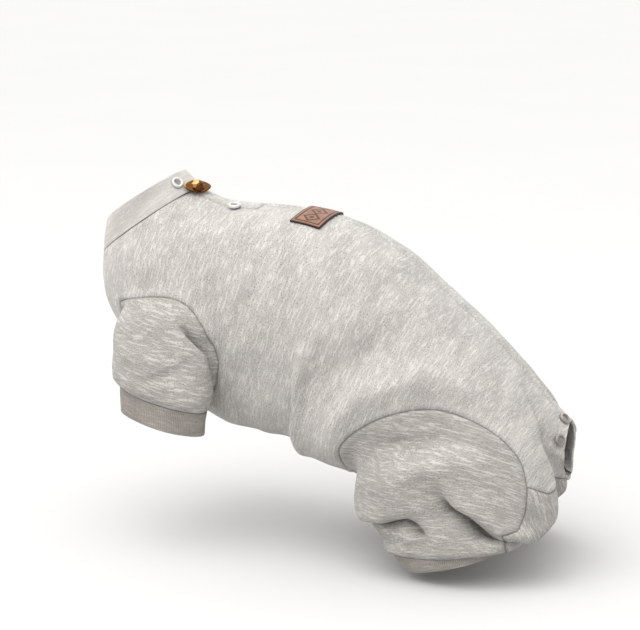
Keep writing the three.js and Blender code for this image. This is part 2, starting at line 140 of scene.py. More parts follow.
# Seams as seen square on from the side, as x and z. The last points of the two loops are corners.
ARM_SEAM = np.array([
    [-112, -116], [-101, -90], [-84, -76], [-62, -69], [-38, -68], [-22, -74], [-11, -86],
    [-4, -102], [0, -118], [4, -142], [6, -200], [-112, -200],
], float)
ARM_CORNERS = 3
LEG_SEAM = np.array([
    [104, -194], [97, -184], [100, -173], [113, -158], [134, -144], [157, -136], [178, -134.5],
    [199, -140], [220, -151], [236, -167], [243, -185], [244, -204], [240, -218],
    [229, -222], [231, -232], [231, -262], [92, -262],
], float)
LEG_CORNERS = 4
SEAT_SEAM = np.array([
    [104, -190], [200, -186], [236, -184], [248, -190], [256, -195], [290, -199],
], float)


def shifted(rows, shift):
    """A limb's table moved along the suit."""
    return {**rows, "x": rows["x"] + shift}


LIMBS = {
    "sleeve_left": (LEFT_ARM, LEFT, ARM_SEAM, ARM_CORNERS),
    "sleeve_right": (RIGHT_ARM, RIGHT, ARM_SEAM, ARM_CORNERS),
    "leg_left": (HAUNCH, LEFT, LEG_SEAM, LEG_CORNERS),
    "leg_right": (
        shifted(HAUNCH, RIGHT_LEG_SHIFT), RIGHT, LEG_SEAM + [RIGHT_LEG_SHIFT, 0], LEG_CORNERS,
    ),
}
CUFFS = {
    "cuff_fore_left": (LEFT_CUFF, LEFT),
    "cuff_fore_right": (RIGHT_CUFF, RIGHT),
    "cuff_hind_left": (HIND_CUFF, LEFT),
    "cuff_hind_right": (shifted(HIND_CUFF, RIGHT_LEG_SHIFT), RIGHT),
}

# Creases of the left side, each a line on the cloth from end to end. "width" is the half width,
# "depth" is inwards, "lip" is how far the cloth stands up beside it and "side" says where: 1 is on the
# right of the line as it is walked with the cloth facing the reader, -1 on the left. "lean" carries
# that lip over the crease, "drop" is how far the cloth on the other side lies back, and "sharp" is
# near 1 for a pinched fold and 2 for a soft one. A ridge has a depth below 0. The right side has the
# same creases, moved by "aft" and "up", and "strength" times as strong.
CREASE_COLUMNS = "width depth lip side lean drop sharp aft up strength".split()
CREASES = {
    "armpit": ((4.2, 9.5, 2.2, 1, 4, 2.6, 1.1, 3, -2, 0.85), [
        (-26, -69, -84), (-19, -72, -92), (-10, -71, -100), (-3, -66, -109), (0, -65, -121),
        (0, -58, -133)]),
    "knee fold": ((5.4, 13.5, 2.4, -1, 5, 4.5, 1.2, -14, 1, 0.8), [
        (122, -60, -223), (128, -78, -224), (138, -86, -222), (148, -90, -217), (158, -91, -214),
        (166, -91, -216), (173, -91, -223), (176, -88, -231)]),
    "heel fold": ((5.4, 14, 3.6, -1, 7, 5.5, 1.1, -13, -2, 0.9), [
        (184, -88, -190), (190, -88, -198), (196, -88, -203), (202, -86, -206), (209, -84, -210),
        (218, -81, -217), (228, -78, -223), (236, -73, -226), (241, -59, -228)]),
    "armpit core": ((2, 6, 0.8, 1, 1.2, 0.5, 1.2, 3, -2, 0.8), [
        (-22, -70, -88), (-13, -71, -97), (-4, -67, -107), (0, -65, -120), (0, -58, -132)]),
    "knee core": ((2, 7, 1, -1, 1.5, 0.6, 1.2, -14, 1, 0.7), [
        (128, -78, -224), (138, -86, -222), (148, -90, -217), (158, -91, -214), (166, -91, -216),
        (172, -91, -222)]),
    "heel core": ((2.2, 8.5, 1.2, -1, 2, 0.8, 1.2, -13, -2, 0.9), [
        (190, -88, -198), (196, -88, -203), (202, -86, -206), (209, -84, -210), (218, -81, -217),
        (228, -78, -223), (235, -73, -226)]),
    "belly hollow": ((18, 8, 0, 1, 0, 0, 2, -6, 2, 0.8), [
        (36, -60, -104), (37, -60, -122), (40, -57, -143), (44, -50, -160), (46, -34, -176)]),
    "belly ridge": ((5, -4.4, 0, 1, 0, 0, 2, -9, 3, 0.9), [
        (69, -65, -99), (69, -67, -115), (67, -66, -133), (64, -65, -150), (61, -58, -166),
        (60, -45, -181), (62, -25, -187)]),
    "belly fold": ((3.2, 3, 0.8, -1, 1.6, 1, 1.3, -9, 3, 0.8), [
        (63, -66, -116), (61, -66, -133), (58, -64, -150), (52, -56, -166), (47, -42, -180)]),
    "flank valley": ((17, 7.5, 0, 1, 0, 0, 2, -8, -4, 0.9), [
        (64, -61, -166), (76, -68, -141), (89, -70, -123), (106, -69, -108), (123, -67, -98),
        (139, -62, -90), (157, -53, -86)]),
    "haunch shelf": ((12, -5.5, 0, 1, 0, 0, 2, -11, 0, 0.8), [
        (87, -66, -166), (101, -71, -149), (119, -72, -133), (136, -71, -123), (152, -68, -116),
        (166, -63, -112), (180, -61, -116), (195, -58, -126)]),
    "under the thigh seam": ((12, 10.5, 0, 1, 0, 0, 2, -12, 0, 1), [
        (108, -68, -186), (122, -76, -172), (138, -80, -163), (158, -82, -157), (178, -80, -156),
        (198, -75, -160), (214, -69, -168)]),
    "thigh bulge": ((13, -7, 0, 1, 0, 0, 2, -14, 2, 0.8), [
        (144, -88, -191), (163, -89, -179), (184, -84, -169), (204, -77, -164),
        (221, -70, -169)]),
    "hip ridge": ((4.6, 3.4, 2.4, 1, 2.2, 4.5, 1.5, -3, 1, 0.7), [
        (234, -22, -124), (240, -25, -136), (245, -29, -150), (249, -32, -164), (254, -28, -178),
        (258, -20, -192)]),
    "girth ripple 1": ((7, 1.6, 0.5, -1, 0, 0, 2, 8, 0, 1.2), [
        (10, -61, -92), (12, -60, -112), (16, -57, -131), (22, -52, -150)]),
    "girth ripple 2": ((6, 1.2, 0.4, 1, 0, 0, 2, 14, -3, 0.9), [
        (92, -66, -88), (84, -67, -108), (78, -67, -126)]),
    "sleeve hollow": ((10, 5, 0, 1, 0, 0, 2, 8, 3, 0.7), [
        (-46, -76, -92), (-33, -84, -104), (-25, -87, -118), (-22, -88, -130)]),
    "sleeve drag": ((4, 1.8, 0.9, 1, 0.6, 0, 1.6, 9, 4, 1.3), [
        (-14, -78, -112), (-30, -86, -122), (-48, -88, -127)]),
    "chest ripple": ((8, 1.6, 0, 1, 0, 0, 2, 2, -6, 1.2), [
        (-84, -41, -26), (-90, -43, -48), (-97, -38, -70)]),
    "rear pucker 1": ((2.8, 1.8, 0.8, 1, 0, 0, 1.4, 0, -3, 0.9), [
        (251, -25, -160), (257, -19, -168), (261, -16, -176)]),
    "rear pucker 2": ((2.6, 1.5, 0.7, -1, 0, 0, 1.4, 0, 2, 1.2), [
        (253, -22, -174), (258, -18, -182), (261, -14, -189)]),
}


# ---- curves and surfaces ----
def last_row(rows):
    """The number of a table's last row, counted from 0."""
    return len(next(iter(rows.values()))) - 1


def row_at(rows, place):
    """The row of a table at a fractional place, every column smoothed through its neighbours."""
    place = np.asarray(place, float)
    last = last_row(rows)
    i = np.clip(np.floor(place).astype(int), 0, last - 1)
    t = place - i
    mixed = {}
    for name, column in rows.items():
        a, b, c, d = (column[np.clip(i + k, 0, last)] for k in (-1, 0, 1, 2))
        bend = 2 * a - 5 * b + 4 * c - d
        twist = 3 * b - a - 3 * c + d
        mixed[name] = 0.5 * (2 * b + (c - a) * t + bend * t**2 + twist * t**3)
    return mixed


def smoothed(points, steps):
    """A smooth line through points, with so many steps from each to the next."""
    columns = dict(enumerate(np.array(points, float).T))
    last = last_row(columns)
    return np.stack(list(row_at(columns, np.linspace(0, last, steps * last + 1)).values()), 1)


def section_point(rows, place, turn, lift=0.0):
    """A point of the trunk or collar. turn is 0 at the centre back and grows to the left."""
    row = row_at(rows, place)
    chord_x, chord_z = row["bellyX"] - row["backX"], row["bellyZ"] - row["backZ"]
    depth = np.hypot(chord_x, chord_z)
    down, out = np.cos(turn), np.sin(turn)
    upper = down > 0
    power = 2 / np.where(upper, row["roundTop"], row["roundBelly"])
    reach = depth * np.where(upper, row["widest"], 1 - row["widest"])
    drop = (reach + lift) * np.abs(down) ** power
    along = (row["widest"] * depth - np.where(upper, drop, -drop)) / depth
    side = -np.sign(out) * (row["half"] + lift) * np.abs(out) ** power
    parts = row["backX"] + chord_x * along, side, row["backZ"] + chord_z * along
    return np.stack(np.broadcast_arrays(*parts), -1)


def limb_point(rows, place, side, turn, lift=0.0):
    """A point of a limb's tube. turn is 0 at the rear and a quarter turn on the outer side."""
    row = row_at(rows, place)
    tilt, splay = np.radians(row["tilt"]), np.radians(row["splay"])
    fore = (row["long"] + lift) * np.cos(turn)
    across = (row["wide"] + lift) * np.sin(turn)
    level = fore * np.cos(tilt)
    x = row["x"] + level * np.cos(splay) + across * np.sin(splay)
    y = row["y"] + across * np.cos(splay) - level * np.sin(splay)
    return np.stack(np.broadcast_arrays(x, side * y, row["z"] - fore * np.sin(tilt)), -1)


def turns(count):
    return np.arange(count) * 2 * np.pi / count


def bell(value, middle, width):
    """1 at the middle, falling away smoothly over the width on both sides."""
    return np.exp(-(((value - middle) / width) ** 2))


def run_on(rings, start, end):
    """Rings with a straight stretch added at the start, at the end, or at both."""
    rings = list(rings)
    for wanted, at, before, spot in ((start, 0, 1, 0), (end, -1, -2, len(rings) + 1)):
        if wanted:
            around = rings[at] - rings[at].mean(0)
            way = np.cross(around, np.roll(around, -1, axis=0)).sum(0)
            way *= np.sign(way @ (rings[at].mean(0) - rings[before].mean(0)))
            rings.insert(spot, rings[at] + way * OVERRUN / np.linalg.norm(way))
    return np.array(rings)


def trunk_rings():
    places = np.linspace(0, last_row(TRUNK), 80)[:, None]
    return run_on(section_point(TRUNK, places, turns(72)[None]), True, True)


def limb_rings(rows, side):
    last = last_row(rows)
    places = np.linspace(0, last, 6 * last + 1)[:, None]
    return run_on(limb_point(rows, places, side, turns(64)[None]), False, True)


# ---- the sewn skin, as plain arrays ----
def even_skin(tubes):
    """The outer skin of overlapping closed tubes, as evenly spaced points and triangles."""
    points, faces = [], []
    for rings in tubes:
        count, sides = rings.shape[:2]
        base = sum(len(p) for p in points)
        grid = base + np.arange(count * sides).reshape(count, sides)
        onward = np.roll(grid, -1, axis=1)
        quads = np.stack([grid[:-1], onward[:-1], onward[1:], grid[1:]], -1).reshape(-1, 4)
        faces += quads.tolist() + [grid[0][::-1].tolist(), grid[-1].tolist()]
        points.append(rings.reshape(-1, 3))
    mesh = bpy.data.meshes.new("form")
    mesh.from_pydata(np.concatenate(points).tolist(), [], faces)
    form = bpy.data.objects.new("form", mesh)
    bpy.context.collection.objects.link(form)
    even = form.modifiers.new("Even", "REMESH")
    even.mode = "VOXEL"
    even.voxel_size = CELL
    depsgraph = bpy.context.evaluated_depsgraph_get()
    made = form.evaluated_get(depsgraph).to_mesh()
    made.calc_loop_triangles()
    skin = np.empty(len(made.vertices) * 3)
    made.vertices.foreach_get("co", skin)
    tris = np.empty(len(made.loop_triangles) * 3, np.int32)
    made.loop_triangles.foreach_get("vertices", tris)
    bpy.data.objects.remove(form)
    bpy.data.meshes.remove(mesh)
    return skin.reshape(-1, 3), tris.reshape(-1, 3)


def edges_of(tris):
    """Each edge once, as its lower and higher point, and how many triangles share it."""
    pairs = np.sort(np.concatenate([tris[:, [0, 1]], tris[:, [1, 2]], tris[:, [2, 0]]]), 1)
    size = int(tris.max()) + 1
    keys, uses = np.unique(pairs[:, 0].astype(np.int64) * size + pairs[:, 1], return_counts=True)
    return np.stack([keys // size, keys % size], 1), uses


def relaxed(values, tris, rounds, share):
    """Values at the points, or the points themselves, eased towards the mean of their neighbours."""
    a, b = edges_of(tris)[0].T
    total = len(values)
    count = np.bincount(a, minlength=total) + np.bincount(b, minlength=total)
    share = np.broadcast_to(share, total)
    flat = values.reshape(total, -1).copy()
    for _ in range(rounds):
        for k in range(flat.shape[1]):
            near = np.bincount(a, flat[b, k], total) + np.bincount(b, flat[a, k], total)
            flat[:, k] += share * (near / np.maximum(count, 1) - flat[:, k])
    return flat.reshape(values.shape)


def normals_of(points, tris):
    a, b, c = (points[tris[:, k]] for k in range(3))
    face = np.cross(b - a, c - a)
    normals = np.zeros_like(points)
    for k in range(3):
        for axis in range(3):
            normals[:, axis] += np.bincount(tris[:, k], face[:, axis], len(points))
    return normals / np.maximum(np.linalg.norm(normals, axis=1, keepdims=True), 1e-9)


NEAR_CUT = 0.22  # the share of an edge within which its point is moved onto a cut


def split(points, tris, labels, value, only=None):
    """Cuts the triangles along value = 0. Points that lie near the line are moved onto it first."""
    wanted = np.ones(len(tris), bool) if only is None else labels == only
    edges = edges_of(tris[wanted])[0]
    for a, b in ((0, 1), (1, 0)):
        va, vb = value[edges[:, a]], value[edges[:, b]]
        share = va / np.where(va == vb, 1, va - vb)
        close = (va * vb < 0) & (share < NEAR_CUT)
        moved, first = np.unique(edges[close, a], return_index=True)
        share = share[close][first][:, None]
        points[moved] += share * (points[edges[close, b][first]] - points[moved])
        value[moved] = 0
    va, vb = value[edges[:, 0]], value[edges[:, 1]]
    crossing = edges[va * vb < 0]
    va, vb = value[crossing[:, 0]], value[crossing[:, 1]]
    share = (va / (va - vb))[:, None]
    fresh = points[crossing[:, 0]] * (1 - share) + points[crossing[:, 1]] * share
    number = {tuple(pair): len(points) + i for i, pair in enumerate(crossing.tolist())}
    points = np.concatenate([points, fresh])
    value = np.concatenate([value, np.zeros(len(fresh))])
    sign = np.sign(value[tris])
    cut = wanted & (sign.min(1) < 0) & (sign.max(1) > 0)
    added, kept_labels = [], []
    for corners, label in zip(tris[cut].tolist(), labels[cut].tolist()):
        signs = [value[c] for c in corners]
        zero = [k for k in range(3) if signs[k] == 0]
        if zero:
            k = zero[0]
            o, p, q = corners[k], corners[k - 2], corners[k - 1]
            m = number[(min(p, q), max(p, q))]
            pieces = [(o, p, m), (o, m, q)]
        else:
            k = next(k for k in range(3) if signs[k - 1] * signs[k - 2] > 0)
            o, p, q = corners[k], corners[k - 2], corners[k - 1]
            m, n = number[(min(o, p), max(o, p))], number[(min(o, q), max(o, q))]
            pieces = [(o, m, n), (m, p, q), (m, q, n)]
        added += pieces
        kept_labels += [label] * len(pieces)
    if added:
        tris = np.concatenate([tris[~cut], np.array(added, tris.dtype)])
        labels = np.concatenate([labels[~cut], np.array(kept_labels, labels.dtype)])
    return points, tris, labels, value[tris].sum(1) > 0


# ---- where the suit's seams and ends are ----
def limb_place(points, rows):
    """Where points lie along a limb, and their level offsets fore and across, in its own turn."""
    z = points[:, 2]
    side_y = np.abs(points[:, 1])
    numbers = np.arange(len(rows["z"]))
    height = z.copy()
    for _ in range(3):
        place = np.interp(-height, -rows["z"], numbers)
        row = row_at(rows, place)
        splay = np.radians(row["splay"])
        dx, dy = points[:, 0] - row["x"], side_y - row["y"]
        fore = dx * np.cos(splay) - dy * np.sin(splay)
        across = dx * np.sin(splay) + dy * np.cos(splay)
        height = z + fore * np.tan(np.radians(row["tilt"]))
    return place, row, fore, across, height


def outside_limb(points, rows):
    """Roughly how far points lie outside a limb's tube."""
    _, row, fore, across, height = limb_place(points, rows)
    ratio = np.hypot(fore / row["long"], across / row["wide"])
    above = np.maximum(height - rows["z"][0], 0)
    out = (ratio - 1) * np.hypot(fore, across) / np.maximum(ratio, 1e-6)
    return np.where(above == 0, out, np.maximum(out, 0) + above)


def outline_distance(points, seam, corners):
    """Signed distance from a side-on outline, more than 0 inside it."""
    outline = np.concatenate([smoothed(seam[:-corners], 5), seam[-corners:]])
    flat = points[:, [0, 2]]
    nearest = np.full(len(flat), np.inf)
    inside = np.zeros(len(flat), bool)
    for a, b in zip(outline, np.roll(outline, -1, axis=0)):
        along = b - a
        share = np.clip(((flat - a) @ along) / (along @ along), 0, 1)
        nearest = np.minimum(nearest, np.hypot(*(flat - a - share[:, None] * along).T))
        spans = (a[1] > flat[:, 1]) != (b[1] > flat[:, 1])
        level = a[0] + (flat[:, 1] - a[1]) * along[0] / (along[1] if along[1] else 1)
        inside ^= spans & (flat[:, 0] < level)
    return np.where(inside, nearest, -nearest)


def limb_field(points, name):
    rows, side, seam, corners = LIMBS[name]
    reach = np.interp(points[:, 2], *ARM_REACH) if name.startswith("sleeve") else SEAM_REACH
    near = reach - outside_limb(points, rows)
    return np.minimum.reduce([outline_distance(points, seam, corners), near, side * points[:, 1]])


def seat_field(points):
    x = points[:, 0]
    return np.minimum(np.interp(x, *SEAT_SEAM.T) - points[:, 2], x - SEAT_SEAM[0, 0])


def past_hem(points, name):
    rows, side = LIMBS[name][:2]
    last = {column: values[-1] for column, values in rows.items()}
    tilt, splay = math.radians(last["tilt"]), math.radians(last["splay"])
    level = math.cos(tilt)
    fore = np.array([level * math.cos(splay), -side * level * math.sin(splay), -math.sin(tilt)])
    across = np.array([math.sin(splay), side * math.cos(splay), 0])
    way = np.cross(fore, across)
    way *= -np.sign(way[2])
    beyond = (points - [last["x"], side * last["y"], last["z"]]) @ way
    near = HEM_REACH - outside_limb(points, rows)
    return np.minimum.reduce([beyond, near, side * points[:, 1]])


def past_neck(points):
    back = np.array([TRUNK["backX"][0], 0, TRUNK["backZ"][0]])
    belly = np.array([TRUNK["bellyX"][0], 0, TRUNK["bellyZ"][0]])
    way = np.cross(belly - back, [0, 1, 0])
    way /= np.linalg.norm(way)
    return (points - back) @ (way if way[0] < 0 else -way)


def past_tail(points):
    x, y, z = points.T
    above = z - TRUNK["bellyZ"][-1] + TAIL_BELOW_SEAT
    return np.minimum.reduce([x - TRUNK["backX"][-1], TAIL_HALF_WIDTH - np.abs(y), above])


def without(points, tris, value):
    """The skin with what lies past value = 0 cut away."""
    labels = np.zeros(len(tris), np.int32)
    points, tris, _, gone = split(points, tris, labels, value)
    tris = tris[~gone]
    used, flat = np.unique(tris, return_inverse=True)
    return points[used], flat.reshape(-1, 3).astype(np.int32)


# ---- creases ----
def nearest_on(points, line):
    """For each point: distance to a line of points, share of its length, way along it and foot."""
    line = np.array(line, float)
    steps = np.linalg.norm(np.diff(line, axis=0), axis=1)
    starts = np.concatenate([[0], np.cumsum(steps)])
    best = np.full(len(points), np.inf)
    share_of = np.zeros(len(points))
    way = np.zeros((len(points), 3))
    foot = np.zeros((len(points), 3))
    for k, (a, b) in enumerate(zip(line[:-1], line[1:])):
        along = b - a
        t = np.clip(((points - a) @ along) / (along @ along), 0, 1)
        spot = a + t[:, None] * along
        gap = np.linalg.norm(points - spot, axis=1)
        closer = gap < best
        best = np.where(closer, gap, best)
        share_of = np.where(closer, (starts[k] + t * steps[k]) / starts[-1], share_of)
        way[closer] = along / steps[k]
        foot[closer] = spot[closer]
    return best, share_of, way, foot


CREASE_FADE = 7  # how far from a hem the creases start


def crease_step(points, normals, crease, line):
    """How one crease moves the points, all of them given as on the left side."""
    gap, share, way, foot = nearest_on(points, line)
    width = crease["width"]
    near = (gap < 4 * width) & (points[:, 1] < 1)
    taper = np.sin(np.pi * np.clip(share * 0.86 + 0.07, 0, 1)) ** 0.7
    aside = np.cross(way, normals)
    off = np.einsum("ij,ij->i", points - foot, aside) * crease["side"]
    core = np.exp(-((gap / width) ** crease["sharp"]))
    past_end = bell(np.maximum(gap - np.abs(off), 0), 0, 2 * width)
    beside = bell(off, 1.7 * width, 1.1 * width) * past_end
    behind = bell(off, 0, 2.2 * width) / (1 + np.exp(3 * off / width)) * past_end
    inwards = crease["depth"] * core + crease["drop"] * behind
    fade = (taper * crease["strength"] * near)[:, None]
    lean = (crease["lean"] * crease["side"] * beside)[:, None] * aside
    return fade * ((crease["lip"] * beside - inwards)[:, None] * normals - lean)


def press_creases(points, tris):
    """Presses every crease into both sides of the suit, less towards the hems."""
    normals = normals_of(points, tris)
    tree = BVHTree.FromPolygons(points.tolist(), tris.tolist())
    move = np.zeros_like(points)
    for side in (LEFT, RIGHT):
        mirror = np.array([1, -side, 1])
        for values, line in CREASES.values():
            crease = dict(zip(CREASE_COLUMNS, values))
            if side == LEFT:
                crease.update(aft=0, up=0, strength=1)
            line = (smoothed(line, 4) + [crease["aft"], 0, crease["up"]]) * mirror
            line = np.array([tree.find_nearest(Vector(spot))[0] for spot in line]) * mirror
            move += mirror * crease_step(points * mirror, normals * mirror, crease, line)
    rim = points[rim_points(tris)]
    hems = rim[(rim[:, 2] < HEMS_BELOW) & (rim[:, 0] < HEMS_FORE_OF)]
    move *= (1 - bell(distance_to(points, hems), 0, CREASE_FADE))[:, None]
    return points + move + belly_lift(points, normals)


BELLY_LIFT, BELLY_SCALLOP = 5.5, 1.3
BELLY_LIFT_SPAN = -8, 18, 57, 4  # where it starts and is full, where it ends, and within how much


def belly_lift(points, normals):
    """The belly hangs less low ahead of its fold, and its edge is scalloped there."""
    x, y, z = points.T
    front, full, fold, step = BELLY_LIFT_SPAN
    ahead = np.clip((x - front) / (full - front), 0, 1) * np.clip((fold - x) / step, 0, 1)
    under = np.clip(-normals[:, 2] * 1.4, 0, 1) * (z < HEMS_BELOW)
    rise = (BELLY_LIFT + BELLY_SCALLOP * np.sin(x / 5.2) * np.abs(y) / 40) * ahead * under
    return rise[:, None] * np.array([0.25, 0, 1])


def eased_noise(points, size, seed):
    return np.array([noise.noise(Vector(p) / size + Vector((seed, 0, 0))) for p in points.tolist()])


# ---- the direction of the knit ----
LEAN_AT_CHEST, LEAN_GROWTH = 0.3, 0.0012  # how far a course leans for each millimetre of height


def trunk_weave(points):
    """Distance round the trunk, and the place along it where the leaning course of knit starts."""
    stations = np.linspace(0, last_row(TRUNK), 260)
    row = row_at(TRUNK, stations)
    chord = np.stack([row["bellyX"] - row["backX"], row["bellyZ"] - row["backZ"]])
    depth = np.hypot(*chord)
    chord = chord / depth
    result = []
    for chunk in np.array_split(points, max(1, len(points) // 20000)):
        x, y, z = chunk.T[:, :, None]
        from_x, from_z = x - row["backX"], z - row["backZ"]
        rearward = -from_x * chord[1] + from_z * chord[0]
        at = np.clip((rearward > 0).sum(1), 1, len(stations) - 1)
        here = np.arange(len(chunk))
        down = from_x[here, at] * chord[0, at] + from_z[here, at] * chord[1, at]
        half, deep = row["half"][at], depth[at]
        turn = np.arctan2(y[:, 0] / half, 1 - 2 * down / deep)
        result.append(turn * (half + deep / 2) / 2)
    rise = points[:, 2] + 100
    foot = (points[:, 0] - LEAN_AT_CHEST * rise) / (1 + LEAN_GROWTH * rise)
    return np.stack([np.concatenate(result), 0.92 * foot], 1)


def limb_weave(points, rows):
    """Distance round a limb and down it. The knit sags towards the rear of a haunch."""
    _, row, fore, across, height = limb_place(points, rows)
    turn = np.arctan2(across / row["wide"], fore / row["long"])
    is_haunch = rows["long"].max() > 60
    sag = np.maximum(fore + 10, 0) ** 2 / 240 * is_haunch
    return np.stack([turn * (row["long"] + row["wide"]) / 2, height + sag], 1)


def seat_weave(points):
    x, y, z = points.T
    return np.stack([0.5 * x - 0.87 * z, 0.87 * x + 0.5 * z + 0.6 * y], 1)


# ---- sewing the panels ----
PANELS = ["body_left", *LIMBS, "seat_gusset", "body_right"]
NEXT_CLOTH = 0.37  # third coordinate of the weave, so that no two panels have the same flecks


def rim_points(tris):
    """The points on the open edges of a skin."""
    edges, uses = edges_of(tris)
    return np.unique(edges[uses == 1])


def distance_to(points, spots):
    tree = kdtree.KDTree(len(spots))
    for i, spot in enumerate(spots.tolist()):
        tree.insert(spot, i)
    tree.balance()
    return np.array([tree.find(point)[2] for point in points.tolist()])


BLEND_DOWN, BLEND_FADE = 34, 20  # below a limb seam's top, and over what height it fades
BLEND_OUTSIDE, BLEND_REACH, BLEND_SHARE = 20, 15, 0.5


def limb_blend(points):
    """How much to ease the skin round the top of each limb's seam, where it runs into the trunk."""
    blend = np.zeros(len(points))
    for _, side, seam, corners in LIMBS.values():
        rise = points[:, 2] - seam[:, 1].max() + BLEND_DOWN
        high = np.clip(rise / BLEND_FADE, 0, 1) * (side * points[:, 1] > BLEND_OUTSIDE)
        edge = outline_distance(points, seam, corners)
        blend = np.maximum(blend, BLEND_SHARE * high * bell(edge, 0, BLEND_REACH))
    return blend


def sewn_skin():
    """Points and triangles of the whole skin, and the number of each triangle's panel."""
    tubes = [trunk_rings()] + [limb_rings(rows, side) for rows, side, _, _ in LIMBS.values()]
    points, tris = even_skin(tubes)
    points = relaxed(points, tris, 6, 0.5)
    points = relaxed(points, tris, 60, limb_blend(points))
    for value in (past_neck, past_tail):
        points, tris = without(points, tris, value(points))
    for name in LIMBS:
        points, tris = without(points, tris, past_hem(points, name))
    points = press_creases(points, tris)
    share = np.full(len(points), 0.4)
    share[rim_points(tris)] = 0
    points = relaxed(points, tris, 2, share)
    labels = np.zeros(len(tris), np.int32)
    fields = [lambda at, name=name: limb_field(at, name) for name in LIMBS]
    fields += [seat_field, lambda at: at[:, 1]]
    for number, field in enumerate(fields, 1):
        points, tris, labels, inside = split(points, tris, labels, field(points), only=0)
        labels[inside & (labels == 0)] = number
    return points, tris, labels


# How the cloth stands out along its seams. A turning is the allowance felt through the face, given
# as its rise, its distance from the seam and its width.
SEAM_GROOVE, RIM_GROOVE = 1.3, 0.5
TURNING, SPINE_TURNING = (0.3, 3.4, 1.7), (0.55, 2.3, 1.1)
TAIL_HEM, TAIL_HEM_WIDTH = 0.6, 6
RIPPLES = (1.0, 36, 5), (0.35, 13, 9)  # height, size and seed
GATHERS, GATHERS_BARE, GATHERS_REACH = (1.8, 7, 17), 3, 9


def cloth_relief(points, seam_gap, rim_gap, spine_gap, tail_gap, hem_gap):
    """How far the cloth stands out at each point, from its distances to the seams and hems."""
    groove = np.where(seam_gap < rim_gap - 0.01, SEAM_GROOVE, RIM_GROOVE)
    rise = -groove * np.exp(-seam_gap)
    for gap, (height, middle, width) in ((seam_gap, TURNING), (spine_gap, SPINE_TURNING)):
        rise += height * bell(gap, middle, width)
    rise += TAIL_HEM / (1 + np.exp(np.clip((tail_gap - TAIL_HEM_WIDTH) * 2, -30, 30)))
    for height, size, seed in RIPPLES:
        rise += height * eased_noise(points, size, seed)
    height, size, seed = GATHERS
    gather = np.exp(-hem_gap / GATHERS_REACH) * (1 - bell(hem_gap, 0, GATHERS_BARE))
    return rise + gather * (0.5 + height * eased_noise(points, size, seed))


def sew():
    """Each panel's points, triangles, weave and distance from a seam, and the whole outer skin."""
    points, tris, labels = sewn_skin()
    normals = normals_of(points, tris)
    lowest = np.full(len(points), 99)
    highest = np.full(len(points), -1)
    for k in range(3):
        np.minimum.at(lowest, tris[:, k], labels)
        np.maximum.at(highest, tris[:, k], labels)
    rim = np.zeros(len(points), bool)
    rim[rim_points(tris)] = True
    at_tail = rim & (past_tail(points) > -6)
    at_hem = rim & (points[:, 2] < HEMS_BELOW) & ~at_tail
    seam = (lowest != highest) | (rim & ~at_tail)
    spine = seam & (np.abs(points[:, 1]) < 0.5) & (points[:, 0] > -40) & (normals[:, 2] > 0.3)
    lines = seam, rim & ~at_tail, spine, at_tail, at_hem
    gaps = [distance_to(points, points[line]) for line in lines]
    points = points + cloth_relief(points, *gaps)[:, None] * normals
    panels = {}
    for number, name in enumerate(PANELS):
        used, flat = np.unique(tris[labels == number], return_inverse=True)
        here = points[used]
        if name in LIMBS:
            weave = limb_weave(here, LIMBS[name][0])
        elif name == "seat_gusset":
            weave = seat_weave(here)
        else:
            weave = trunk_weave(here)
        weave = np.column_stack([weave * MM, np.full(len(here), NEXT_CLOTH * number)])
        panels[name] = here, flat.reshape(-1, 3), weave, gaps[0][used] * MM
    return panels, BVHTree.FromPolygons(points.tolist(), tris.tolist())


# ---- materials ----
class Nodes:
    """A node tree that is filled by calls, most of which give the new node's first output."""

    def __init__(self, tree):
        self.tree = tree

    def put(self, socket, value):
        """Links a socket to another node's output, or sets its value."""
        if isinstance(value, bpy.types.NodeSocket):
            self.tree.links.new(value, socket)
        else:
            socket.default_value = value

    def add(self, kind, inputs=(), **settings):
        node = self.tree.nodes.new(kind)
        for key, value in settings.items():
            setattr(node, key, value)
        for key, value in dict(inputs).items():
            self.put(node.inputs[key], value)
        return node

    def math(self, operation, a, b=0.0, c=0.0):
        return self.add("ShaderNodeMath", {0: a, 1: b, 2: c}, operation=operation).outputs[0]

    def vector(self, operation, a, b):
        return self.add("ShaderNodeVectorMath", {0: a, 1: b}, operation=operation).outputs

    def noise(self, vector, scale=1.0, detail=2.0, rough=0.5, stretch=None):
        if stretch is not None:
            vector = self.vector("MULTIPLY", vector, stretch)[0]
        put = {"Vector": vector, "Scale": scale, "Detail": detail, "Roughness": rough}
        return self.add("ShaderNodeTexNoise", put).outputs[0]

    def ramp(self, value, low, high, start=0.0, end=1.0):
        put = {"Value": value, 1: low, 2: high, 3: start, 4: end}
        made = self.add("ShaderNodeMapRange", put, interpolation_type="SMOOTHSTEP")
        return made.outputs[0]

    def mix(self, share, a, b, blend="MIX"):
        put = {0: share, 6: a, 7: b}
        return self.add("ShaderNodeMix", put, data_type="RGBA", blend_type=blend).outputs[2]

    def shaded(self, color, shade):
        grey = self.add("ShaderNodeCombineColor", {0: shade, 1: shade, 2: shade}).outputs[0]
        return self.mix(1.0, color, grey, "MULTIPLY")

    def attribute(self, name, output="Vector"):
        return self.add("ShaderNodeAttribute", attribute_name=name).outputs[output]

    def weave_parts(self):
        return self.add("ShaderNodeSeparateXYZ", {0: self.attribute("weave")}).outputs

    def place(self):
        return self.add("ShaderNodeTexCoord").outputs["Object"]

    def use(self, group, inputs):
        return self.add("ShaderNodeGroup", inputs, node_tree=group).outputs

    def bump(self, height, distance, strength=1.0, under=None):
        put = {"Height": height, "Distance": distance, "Strength": strength}
        if under is not None:
            put["Normal"] = under
        return self.add("ShaderNodeBump", put).outputs[0]


